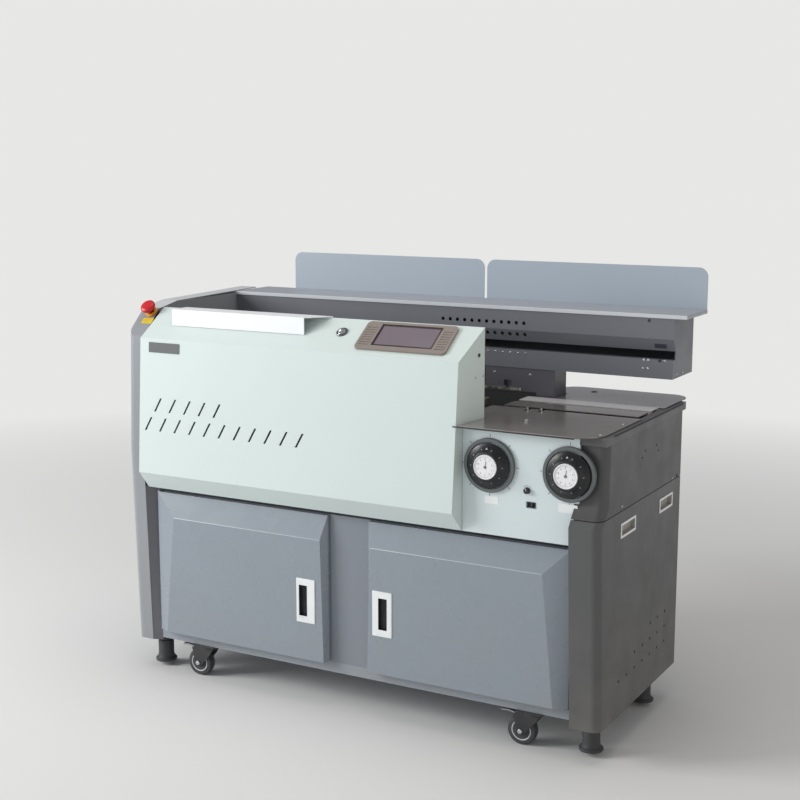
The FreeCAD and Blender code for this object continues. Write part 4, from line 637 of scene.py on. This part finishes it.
def plate(name, width, height, thick, corner, material):
    """A thin plate with rounded corners that looks up, its back at the origin."""
    clear()
    bpy.ops.mesh.primitive_plane_add(size=1, location=(0, 0, 0))
    piece = bpy.context.object
    piece.name = name
    bpy.ops.object.mode_set(mode="EDIT")
    bpy.ops.transform.resize(value=(width, height, 1))
    bpy.ops.mesh.bevel(offset=corner, segments=5, affect="VERTICES")
    bpy.ops.mesh.extrude_region_move(TRANSFORM_OT_translate={"value": (0, 0, thick)})
    bpy.ops.mesh.inset(thickness=thick * 0.3, depth=thick * 0.3)
    bpy.ops.mesh.select_all(action="SELECT")
    bpy.ops.mesh.normals_make_consistent(inside=False)
    bpy.ops.object.mode_set(mode="OBJECT")
    return wear(piece, material)


plate_dark = moulded("plate_dark", shade(96, 99, 101), 0.35)
plate_light = moulded("plate_light", shade(146, 149, 150), 0.35)
badge = plate("bare_plate", 0.102, 0.027, 0.0012, 0.0015, plate_dark)
touched(badge, plate_light, lambda place: place.x > 0.016)
finished(faced(badge, front_face(150, 930), FRONT_LEAN), "cabinet")

# ------------------------------------------------------------------ screen and start button
# A ribbed plastic surround on the sloping top edge with a glass touch panel, and a chromed
# push button in its collar.

SLOPE, SLOPE_FOOT = math.degrees(math.atan2(74, 106)), (16, 953)


def on_slope(x, foot, angle, up, out=0.0):
    """A place on a sloping face: up counts along it from its foot, a depth and a height."""
    lean = math.radians(angle)
    return spot(x, foot[0] + up * math.cos(lean) - out * math.sin(lean),
                foot[1] + up * math.sin(lean) + out * math.cos(lean))


bezel_brown = moulded("surround_brown", shade(140, 130, 124), 0.38)
dressed("screen_bezel", "cabinet", bezel_brown, edge=0.0010)
glass = Finish("dark_glass")
sweep = glass.noise(5, 2)
glass.set(base_color=glass.mix(glass.fade(sweep, 0.3, 0.7), shade(108, 97, 106),
                               shade(124, 113, 121)),
          roughness=glass.fade(glass.noise(40, 4), 0.3, 0.7, 0.30, 0.38),
          coat_weight=0.15)
dressed("screen_glass", "cabinet", glass.material, edge=0.0006)
mask_black = moulded("screen_mask", shade(52, 46, 48), 0.2)


def window_frame(name, width, height, bar, thick, material):
    """A flat frame with eased edges round a window."""
    clear()
    bpy.ops.mesh.primitive_plane_add(size=1, location=(0, 0, 0))
    piece = bpy.context.object
    piece.name = name
    bpy.ops.object.mode_set(mode="EDIT")
    bpy.ops.transform.resize(value=(width + bar * 2, height + bar * 2, 1))
    bpy.ops.mesh.inset(thickness=bar, depth=0)
    bpy.ops.mesh.delete(type="FACE")
    bpy.ops.mesh.select_all(action="SELECT")
    bpy.ops.mesh.extrude_region_move(TRANSFORM_OT_translate={"value": (0, 0, thick)})
    bpy.ops.mesh.select_all(action="SELECT")
    bpy.ops.mesh.normals_make_consistent(inside=False)
    bpy.ops.object.mode_set(mode="OBJECT")
    eased(piece, thick * 0.3)
    return wear(piece, material)


mask = window_frame("screen_mask", 0.1590, 0.0680, 0.0055, 0.0003, mask_black)
finished(faced(mask, on_slope(859.5, SLOPE_FOOT, SLOPE, 72, 4.0), SLOPE), "cabinet")

BUTTON_SEAT = on_slope(669, SLOPE_FOOT, SLOPE, 76)
chrome = plated("chrome", shade(222, 224, 226), 0.12, 12)
button = capped(turned("start_button_cap", [
    (0.0110, -0.0130), (0.0110, 0.0034), (0.0106, 0.0044), (0.0098, 0.0050), (0.0078, 0.0050),
    (0.0060, 0.0043), (0.0030, 0.0040)], 48))
faced(button, BUTTON_SEAT, SLOPE)
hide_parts("start_button")
finished(button, "start_button", chrome)
ring = turned("button_ring", [
    (0.0113, 0.0032), (0.0116, 0.0040), (0.0136, 0.0042), (0.0150, 0.0030), (0.0154, 0.0004),
    (0.0154, -0.0004), (0.0113, -0.0004), (0.0113, 0.0032)], 48, close=False)
wear(ring, plated("ring_dark", shade(120, 122, 124), 0.25))
finished(faced(ring, BUTTON_SEAT, SLOPE), "cabinet")

# ------------------------------------------------------------------ wheel panel and hand wheels
# A flat panel with two turned rings; in each ring a black wheel with a conical skirt turns, and
# a white dial with a needle is let into its hub. Scale marks are printed round both.

panel_mint = coated("panel_mint", shade(215, 227, 229), tone=0.02, dust=0.05)
dressed("wheel_panel", "cabinet", panel_mint, edge=0.0006)
ring_grey = moulded("ring_grey", shade(96, 101, 103), 0.34)
wheel_black = moulded("wheel_black", shade(25, 27, 30), 0.36)
dial_white = moulded("dial_white", shade(238, 238, 240), 0.3)
ink = moulded("dark_ink", shade(52, 56, 60), 0.5)
white_ink = moulded("white_ink", shade(214, 218, 220), 0.5)
needle_grey = moulded("needle_grey", shade(108, 112, 116), 0.4)
WHEELS = {"register_wheel": 1107, "nip_wheel": 1312}
PANEL_FACE, WHEEL_HEIGHT = 33, 709
DIAL_FACE = 0.0274
SKIRT_LEAN = -36.5


def mark(length, width, reach, angle, height, material, lean=0.0):
    """A printed stroke of its own thin mesh, at a reach from the middle and an angle from the
    top."""
    stroke = plate("mark", width, length, 0.00022, width * 0.2, material)
    stroke.matrix_world = (Matrix.Rotation(math.radians(-angle), 4, "Z")
                           @ Matrix.Translation((0, reach, height))
                           @ Matrix.Rotation(math.radians(lean), 4, "X"))
    return applied(stroke)


def numeral(figure, size, reach, angle, height, material):
    """A dial figure, set upright round the middle."""
    clear()
    bpy.ops.object.text_add(location=(0, 0, 0))
    text = bpy.context.object
    text.data.body = figure
    text.data.size = size
    text.data.align_x = "CENTER"
    text.data.align_y = "CENTER"
    text.data.extrude = 0.0001
    bpy.ops.object.convert(target="MESH")
    around = math.radians(angle)
    text.data.transform(Matrix.Translation(
        (reach * math.sin(around), reach * math.cos(around), height)))
    return wear(text, material)


def ring_round(place_x):
    """The fixed ring with its scale strokes on the panel round it. The right ring has five of
    the eight, because the panel ends beside it."""
    band = turned("scale_ring", [
        (0.0572, 0.0000), (0.0572, 0.0072), (0.0580, 0.0079), (0.0648, 0.0079), (0.0660, 0.0070),
        (0.0665, 0.0056), (0.0665, 0.0000), (0.0572, 0.0000)], 128, close=False)
    wear(band, ring_grey)
    steps = range(8) if place_x == WHEELS["register_wheel"] else (0, 4, 5, 6, 7)
    strokes = [mark(0.0075, 0.0012, 0.0720, step * 45, 0.0, ink) for step in steps]
    whole = joined([band] + strokes, "ring_with_scale")
    return faced(whole, spot(place_x, PANEL_FACE, WHEEL_HEIGHT))


scale_rings = joined([ring_round(place_x) for place_x in WHEELS.values()], "scale_rings")
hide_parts("wheel_rings")
finished(scale_rings, "cabinet")


def wheel_model(node, place_x):
    """Skirt, hub, dial, needle and screw spindle of one hand wheel."""
    depth = span(node)[1].y - spot(0, PANEL_FACE, 0).y
    skirt = turned("skirt", [
        (0.0080, 0.0060), (0.0500, 0.0060), (0.0536, 0.0068), (0.0550, 0.0086), (0.0550, 0.0100),
        (0.0543, 0.0113), (0.0515, 0.0124), (0.0372, 0.0230), (0.0356, 0.0252), (0.0338, 0.0260),
        (0.0306, 0.0260), (0.0302, 0.0236), (0.0080, 0.0236)], 128)
    spindle = turned("spindle", [
        (0.0076, 0.0060), (0.0080, 0.0052), (0.0080, -depth + 0.0010), (0.0070, -depth),
        (0.0020, -depth)], 40)
    bezel = turned("dial_rim", [
        (0.0300, 0.0232), (0.0300, 0.0280), (0.0294, 0.0288), (0.0280, 0.0290), (0.0272, 0.0284),
        (0.0268, DIAL_FACE), (0.0100, DIAL_FACE)], 96)
    parts = [wear(skirt, wheel_black), wear(spindle, screw_steel), wear(bezel, dial_white)]
    for step in range(50):
        length, width, reach = (
            (0.0034, 0.0005, 0.0238) if step % 5 == 0 else (0.0019, 0.0003, 0.0246))
        parts.append(mark(length, width, reach, step * 7.2, DIAL_FACE, ink))
    for figure in range(10):
        parts.append(numeral(str(figure), 0.0052, 0.0188, figure * 36, 0.0275, ink))
    parts.append(mark(0.0165, 0.0014, 0.0060, 10, 0.0278, needle_grey))
    parts.append(wear(turned("needle_hub", [
        (0.0036, 0.0270), (0.0036, 0.0284), (0.0026, 0.0289), (0.0010, 0.0290)], 24), needle_grey))
    for step in range(10):
        parts.append(mark(0.0042, 0.0009, 0.0418, 18 + step * 36, 0.0199, white_ink, SKIRT_LEAN))
    arrow = wear(turned("arrow", [(0.0036, 0.0), (0.0034, 0.0003), (0.0010, 0.0003)], 3), white_ink)
    arrow.matrix_world = (Matrix.Translation((0, 0.0430, 0.0194))
                          @ Matrix.Rotation(math.radians(SKIRT_LEAN), 4, "X"))
    parts.append(applied(arrow))
    wheel = joined(parts, node + "_with_dial")
    faced(wheel, spot(place_x, PANEL_FACE, WHEEL_HEIGHT))
    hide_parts(node)
    return finished(wheel, node)


for node, place_x in WHEELS.items():
    wheel_model(node, place_x)

# Below the wheels: the selector with its printed scale, two small socket frames and two bare
# white labels.

SELECTOR_X = 1205
SELECTOR_SEAT = spot(SELECTOR_X, PANEL_FACE, 658)
knob_black = moulded("knob_black", shade(40, 40, 42), 0.35)
cap = wear(capped(turned("selector_cap", [
    (0.0040, -0.0107), (0.0040, 0.0004), (0.0080, 0.0004), (0.0080, 0.0014), (0.0074, 0.0020),
    (0.0070, 0.0078), (0.0062, 0.0091), (0.0045, 0.0093)], 40)), knob_black)
pointer = mark(0.0070, 0.0012, 0.0036, 0, 0.0092, white_ink)
knob = faced(joined([cap, pointer], "selector_with_pointer"), SELECTOR_SEAT)
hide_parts("selector_knob")
finished(knob, "selector_knob")
selector_scale = joined([mark(0.0030, 0.0008, 0.0115, angle, 0.0, ink)
                         for angle in (-45, -22.5, 0, 22.5, 45)], "selector_scale")
finished(faced(selector_scale, SELECTOR_SEAT), "cabinet")
socket_frames = joined([
    faced(window_frame("socket_frame", 0.0088, 0.0118, 0.0015, 0.0016, knob_black),
          spot(SELECTOR_X + offset, PANEL_FACE, 624))
    for offset in (4.5, 16.5)], "socket_frames")
finished(socket_frames, "cabinet")
label_white = moulded("label_white", shade(236, 240, 240), 0.45)
labels = joined([
    faced(plate("bare_label", width, height, 0.0004, 0.002, label_white), spot(x, PANEL_FACE, z))
    for x, z, width, height in ((1112, 624, 0.036, 0.019), (1309, 626, 0.048, 0.021))],
    "bare_labels")
finished(labels, "cabinet")

# ------------------------------------------------------------------ emergency stop
# A yellow collar and a red mushroom head of moulded plastic on the sloping shoulder, held by a
# nut behind the sheet, with a bare yellow plate below it.

SHOULDER, SHOULDER_FOOT = math.degrees(math.atan2(69, 72)), (46, 953)
STOP_SEAT = on_slope(38, SHOULDER_FOOT, SHOULDER, 84)

stop_yellow = moulded("stop_yellow", shade(226, 150, 40), 0.38)
stop_red = moulded("stop_red", shade(196, 34, 40), 0.28)
stem_black = moulded("stem_black", shade(30, 30, 32), 0.4)
wear(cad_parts["stop_stem"], stem_black)
collar = wear(turned("stop_collar_ring", [
    (0.0092, 0.0000), (0.0165, 0.0000), (0.0170, 0.0008), (0.0170, 0.0048), (0.0160, 0.0062),
    (0.0140, 0.0070), (0.0104, 0.0070), (0.0093, 0.0062), (0.0092, 0.0000)], 64, close=False),
    stop_yellow)
under = wear(turned("stop_body", [
    (0.0095, -0.0300), (0.0120, -0.0300), (0.0120, 0.0), (0.0095, 0.0), (0.0095, -0.0300)], 48,
    close=False), stem_black)
collar = joined([faced(part, STOP_SEAT, SHOULDER) for part in (collar, under)],
                "stop_collar_with_body")
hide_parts("stop_collar")
finished(collar, "cabinet")
head = capped(turned("stop_mushroom", [
    (0.0092, 0.0130), (0.0130, 0.0126), (0.0139, 0.0172), (0.0188, 0.0190), (0.0203, 0.0206),
    (0.0210, 0.0232), (0.0208, 0.0262), (0.0198, 0.0288), (0.0172, 0.0309), (0.0132, 0.0321),
    (0.0070, 0.0326), (0.0024, 0.0327)], 72))
faced(head, STOP_SEAT, SHOULDER)
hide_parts("stop_head")
finished(head, "stop_head", stop_red)
plate_yellow = moulded("plate_yellow", shade(224, 196, 60), 0.45)
yellow_plate = plate("bare_yellow_plate", 0.036, 0.020, 0.0006, 0.002, plate_yellow)
faced(yellow_plate, on_slope(39, SHOULDER_FOOT, SHOULDER, 54), SHOULDER)
finished(yellow_plate, "cabinet")

# ------------------------------------------------------------------ table and nip
# The frame of steel bars carries the cover table: two cold-rolled sheet plates, countersunk and
# screwed down, with the bright nip between them. The register studs stand in their slots.

TABLE_TOP = 803
PLATE_UNDERSIDE = 0.8024


def rolled(name, colour, rough, grain=(2, 60, 2), metal_share=0.75):
    """Cold-rolled sheet: long faint streaks along the rolling, handling marks and a soft
    sheen."""
    metal = Finish(name)
    streak = metal.noise(9, 4, grain)
    smear = metal.noise(3.5, 2)
    tone = metal.mix(metal.fade(streak, 0.3, 0.7, 0, 0.22), colour, toned(colour, 0.82))
    handled = metal.fade(smear, 0.2, 0.8, 0, 0.22)
    metal.set(base_color=metal.mix(handled, tone, toned(colour, 1.25)),
              metallic=metal_share,
              roughness=metal.fade(metal.noise(4, 2), 0.2, 0.8, rough - 0.05, rough + 0.08),
              normal=metal.bump(streak, 0.00003, 0.3))
    return metal.material


ACROSS = (60, 2, 2)
front_sheet = rolled("front_plate", shade(187, 181, 177), 0.22)
rear_sheet = rolled("rear_plate", shade(188, 183, 185), 0.26, ACROSS)
# The rear nip jaw is bright steel, but it is painted near white and almost without metal, so its
# colour is partly a painted highlight.
nip_bright_and_painted_highlight = rolled("nip_bright_and_painted_highlight", shade(206, 205, 207), 0.32, ACROSS, 0.05)
# The plates' edge faces are painted dark grey, as painted shade along the edge under each plate.
plate_edge_painted_shade = rolled("plate_edge_painted_shade", shade(112, 108, 106), 0.4)
table_grey = coated("table_frame_grey", shade(92, 92, 94), dust=0.0)
dressed("table_frame", "cabinet", table_grey, edge=0.0010)
for node, sheet in (("front_table_plate", front_sheet), ("rear_table_plate", rear_sheet)):
    touched(dressed(node, "cabinet", sheet, edge=0.0006), plate_edge_painted_shade,
            lambda place: place.z < PLATE_UNDERSIDE)
dressed("rear_nip_jaw", "cabinet", nip_bright_and_painted_highlight, edge=0.0008)
dressed("front_nip_jaw", "front_nip_jaw", front_sheet, edge=0.0008)
dressed("register_gauge", "register_gauge", ground_steel, edge=0.0005)
stud = turned("table_stud", [
    (0.0062, -0.0002), (0.0064, 0.0008), (0.0058, 0.0016), (0.0040, 0.0018), (0.0038, 0.0050),
    (0.0032, 0.0060), (0.0012, 0.0062)], 28)
wear(stud, screw_steel)
finished(faced(stud, spot(1154, 135, TABLE_TOP), 0), "cabinet")
washer = turned("washer_screw", [
    (0.0098, -0.0002), (0.0100, 0.0006), (0.0094, 0.0010), (0.0066, 0.0010), (0.0062, 0.0004),
    (0.0056, 0.0006), (0.0050, 0.0020), (0.0036, 0.0024), (0.0010, 0.0024)], 36)
wear(washer, plated("washer_steel", shade(150, 148, 146), 0.35))
finished(faced(washer, spot(1138, 626, TABLE_TOP), 0), "cabinet")
table_screws = rows(small_screw, "table_screws", [
    spot(x, y, TABLE_TOP) for x, y in (
        (1353, 486), (1368, 478), (1374, 62), (1374, 212), (1374, 655), (1110, 500))], 0)
finished(table_screws, "cabinet")

# ------------------------------------------------------------------ beam, tray and back plates
# The closed beam is folded from one sheet and stands on square columns; a bright rail pair runs
# inside it. Over it lies the tray with its two upright plates, all powder coated.

BEAM_FACE, BEAM_END = 480, 1404

beam_grey = coated("beam_grey", shade(112, 115, 122), dust=0.0)
column_grey = coated("column_grey", shade(96, 96, 102), dust=0.0)
dressed("beam_columns", "cabinet", column_grey, edge=0.0010)
dressed("beam_housing", "cabinet", beam_grey, edge=0.0006)
wear(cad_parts["carriage_rails"], ground_steel)
tray_grey = coated("tray_grey", shade(163, 167, 175), dust=0.0)
# The tray's front lip is painted much lighter than the tray: a painted highlight along its front
# edge.
tray_lip_painted_highlight = coated("tray_lip_painted_highlight", shade(206, 211, 216), dust=0.0)
tray = dressed("top_tray", "cabinet", tray_grey, edge=0.0010)
lip_back = span("top_tray")[0].y + 0.004
touched(tray, tray_lip_painted_highlight, lambda place: place.y < lip_back)
plate_grey = coated("plate_grey", shade(166, 178, 189), dust=0.0)
dressed("back_plates", "cabinet", plate_grey, edge=0.0006)
for model, name, places in (
        (small_screw, "beam_screws",
         [(754 + 22 * step, 916) for step in range(12)]
         + [(1382.6, 922.8), (1337.6, 900.4), (1324.7, 900.4)]),
        (bright_screw, "beam_front_bolts", [(1326.5, 922.2), (1339.2, 922.2)])):
    fittings = rows(model, name, [spot(x, BEAM_FACE, z) for x, z in places])
    finished(fittings, "cabinet")
end_bolts = rows(bright_screw, "beam_end_bolts",
                 [spot(BEAM_END, 513, 887), spot(BEAM_END, 559.5, 886)], 90, 90)
finished(end_bolts, "cabinet")
plug_black = moulded("plug_black", shade(40, 41, 44), 0.4)
plug = turned("blind_plug", [
    (0.0038, -0.0003), (0.0038, 0.0006), (0.0030, 0.0011), (0.0010, 0.0012)], 20)
wear(plug, plug_black)
plugs = rows(plug, "beam_plugs", [spot(1368.8, BEAM_FACE, 922.9), spot(1337.6, BEAM_FACE, 1024)])
bpy.data.objects.remove(plug)
finished(plugs, "cabinet")
cover_dark = moulded("cover_dark", shade(58, 60, 72), 0.4)
cover = plate("beam_window_cover", 0.031, 0.013, 0.0010, 0.0010, cover_dark)
COVER_LEAN = 90 + math.degrees(math.atan2(20, 32))
faced(cover, spot(1366, 492, 959), COVER_LEAN)
finished(cover, "cabinet")
bracket_screw = rows(bright_screw, "bracket_screw", [spot(1010, 482, 859.5), spot(905, 482, 859.5)])
finished(bracket_screw, "cabinet")

# ------------------------------------------------------------------ clamp carriage
# The carriage runs on the two rails on round bearings; its clamp has one fixed and one moving
# jaw of ground steel.

dressed("carriage", "carriage", ground_steel, edge=0.0010)
dressed("front_clamp_jaw", "front_clamp_jaw", ground_steel, edge=0.0010)

# ------------------------------------------------------------------ doors and pulls
# Two folded sheet doors with a raised field. A thin rod along each upper fold is painted light, as
# a painted highlight on the fold's edge. Each has a white flush pull of moulded plastic, let in
# with its slot painted dark as painted shade; the right side has two smaller, their cups painted
# grey as painted shade.

FOLD_RADIUS = 0.0013

# A thin rod painted light along each door's upper fold: a painted highlight on the fold's edge.
fold_painted_highlight = coated("fold_painted_highlight", shade(196, 205, 212), gloss=0.3, dust=0.0)
for side in ("left_door", "right_door"):
    door = dressed(side, side, door_grey, edge=0.0009, smooth=6)
    front = min(point.co.y for point in door.data.vertices)
    field = [point.co for point in door.data.vertices if point.co.y < front + 0.0004]
    crest = max(place.z for place in field)
    ends = [place.x for place in field if place.z > crest - 0.0015]
    clear()
    bpy.ops.mesh.primitive_cylinder_add(
        vertices=20, radius=FOLD_RADIUS, depth=max(ends) - min(ends),
        rotation=(0, math.radians(90), 0),
        location=((max(ends) + min(ends)) / 2, front + 0.0010, crest - 0.0002))
    fold_highlight_rod = bpy.context.object
    fold_highlight_rod.name = f"{side}_fold_highlight_rod"
    eased(fold_highlight_rod, 0.0009, 3)
    finished(fold_highlight_rod, side, fold_painted_highlight)
pull_white = moulded("pull_white", shade(238, 241, 241), 0.35)
cup_painted_shade = moulded("cup_painted_shade", shade(36, 42, 44), 0.5)
side_cup_painted_shade = moulded("side_cup_painted_shade", shade(168, 165, 160), 0.5)
SLOT_WIDTH, SLOT_HEIGHT = 0.025, 0.083
RIM, LIP = 0.0040, 0.0012


def flush_pull(node, slot_shift):
    """A moulded pull: its face slopes in from a raised rim to the lip of an upright slot."""
    low, high, middle = span(node)
    width, height, deep = high.x - low.x, high.z - low.z, high.y - low.y
    lip_width, lip_height = SLOT_WIDTH + LIP * 2, SLOT_HEIGHT + LIP * 2
    clear()
    bpy.ops.mesh.primitive_plane_add(size=1, location=(0, 0, 0))
    pull = bpy.context.object
    bpy.ops.object.mode_set(mode="EDIT")
    bpy.ops.transform.resize(value=(width, height, 1))
    bpy.ops.mesh.extrude_region_move(TRANSFORM_OT_translate={"value": (0, 0, 0.0012)})
    bpy.ops.mesh.inset(thickness=0.0010, depth=0.0011)
    bpy.ops.mesh.inset(thickness=0.0030, depth=0.0001)
    bpy.ops.mesh.extrude_region_move(TRANSFORM_OT_translate={"value": (slot_shift, 0, -0.0010)})
    bpy.ops.transform.resize(
        value=(lip_width / (width - RIM * 2), lip_height / (height - RIM * 2), 1),
        center_override=(slot_shift, 0, 0.0014))
    bpy.ops.mesh.inset(thickness=LIP, depth=0.0004)
    bpy.ops.mesh.extrude_region_move(TRANSFORM_OT_translate={"value": (0, 0, 0.0030 - deep)})
    bpy.ops.mesh.select_all(action="SELECT")
    bpy.ops.mesh.normals_make_consistent(inside=False)
    bpy.ops.mesh.select_mode(type="FACE")
    bpy.ops.mesh.select_all(action="DESELECT")
    bpy.ops.object.mode_set(mode="OBJECT")
    # The plane that the pull was drawn from lies over the slot's well, and goes.
    for face in pull.data.polygons:
        face.select = abs(face.center.z) < 0.00001 and abs(face.normal.z) > 0.9
    bpy.ops.object.mode_set(mode="EDIT")
    bpy.ops.mesh.delete(type="FACE")
    bpy.ops.mesh.select_all(action="SELECT")
    bpy.ops.mesh.normals_make_consistent(inside=False)
    bpy.ops.object.mode_set(mode="OBJECT")
    eased(pull, 0.0005)
    wall = pull.modifiers.new("wall", "SOLIDIFY")
    wall.thickness = 0.0008
    wall.offset = -1
    bpy.ops.object.modifier_apply(modifier="wall")
    pull.name = f"{node}_moulding"
    wear(pull, pull_white)
    # The slot's well is painted dark, as painted shade in the recess.
    touched(pull, cup_painted_shade, lambda place: place.z < -0.0005)
    faced(pull, Vector((middle.x, low.y + 0.002, middle.z)))
    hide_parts(node)
    return finished(pull, node.replace("_pull", ""), smooth=30)


flush_pull("left_door_pull", -0.008)
flush_pull("right_door_pull", 0.0015)
SIDE_CUP_FLOOR = 0.6805
side_pulls = dressed("side_pulls", "cabinet", pull_white, edge=0.0007)
# The side pulls' cups are painted grey, as painted shade in their recesses.
touched(side_pulls, side_cup_painted_shade, lambda place: place.x < SIDE_CUP_FLOOR)

# ------------------------------------------------------------------ screws and painted shadow strips
# Button-head screws and a blind plug hold the right and rear covers. Thin black strips are painted
# shadow: in the gap over the doors, under the front plate's edge and along the table's side.

RIGHT_SIDE, REAR_FACE = 1400, 584

side_screws = rows(small_screw, "side_screws",
                   [spot(RIGHT_SIDE, 147, 618.4), spot(RIGHT_SIDE, 520.6, 611.7)], 90, 90)
finished(side_screws, "cabinet")
side_plug = turned("side_plug", [
    (0.0050, -0.0003), (0.0050, 0.0006), (0.0040, 0.0011), (0.0010, 0.0012)], 20)
wear(side_plug, plug_black)
finished(faced(side_plug, spot(RIGHT_SIDE, 557, 612), 90, 90), "cabinet")
rear_places = ([(x, z) for x in (14, 360, 700, 1040) for z in (110, 866)]
               + [(x, z) for x in (14, 1386) for z in (320, 540)]
               + [(1386, 110), (1386, 766)])
rear_screws = rows(small_screw, "rear_screws",
                   [spot(x, REAR_FACE, z) for x, z in rear_places], 90, 180)
finished(rear_screws, "cabinet")
# Black strips laid where there is only shade: painted shadow.
shadow_strip_black = moulded("shadow_strip_black", shade(30, 36, 40), 0.6)
for strip, length, height, thick, place, turn in (
        ("door_shadow_strip", 1.218, 0.0125, 0.0020, spot(693, 62, 530.5), 0),
        ("plate_shadow_strip", 0.312, 0.0026, 0.0020, spot(1176, 5.6, 798.7), 0),
        ("side_shadow_strip", 0.500, 0.0040, 0.0012, spot(RIGHT_SIDE, 334, 797.9), 90)):
    shadow_strip = faced(plate(strip, length, height, thick, 0.0012, shadow_strip_black), place, 90, turn)
    finished(shadow_strip, "cabinet")
bpy.data.objects.remove(small_screw)
bpy.data.objects.remove(bright_screw)
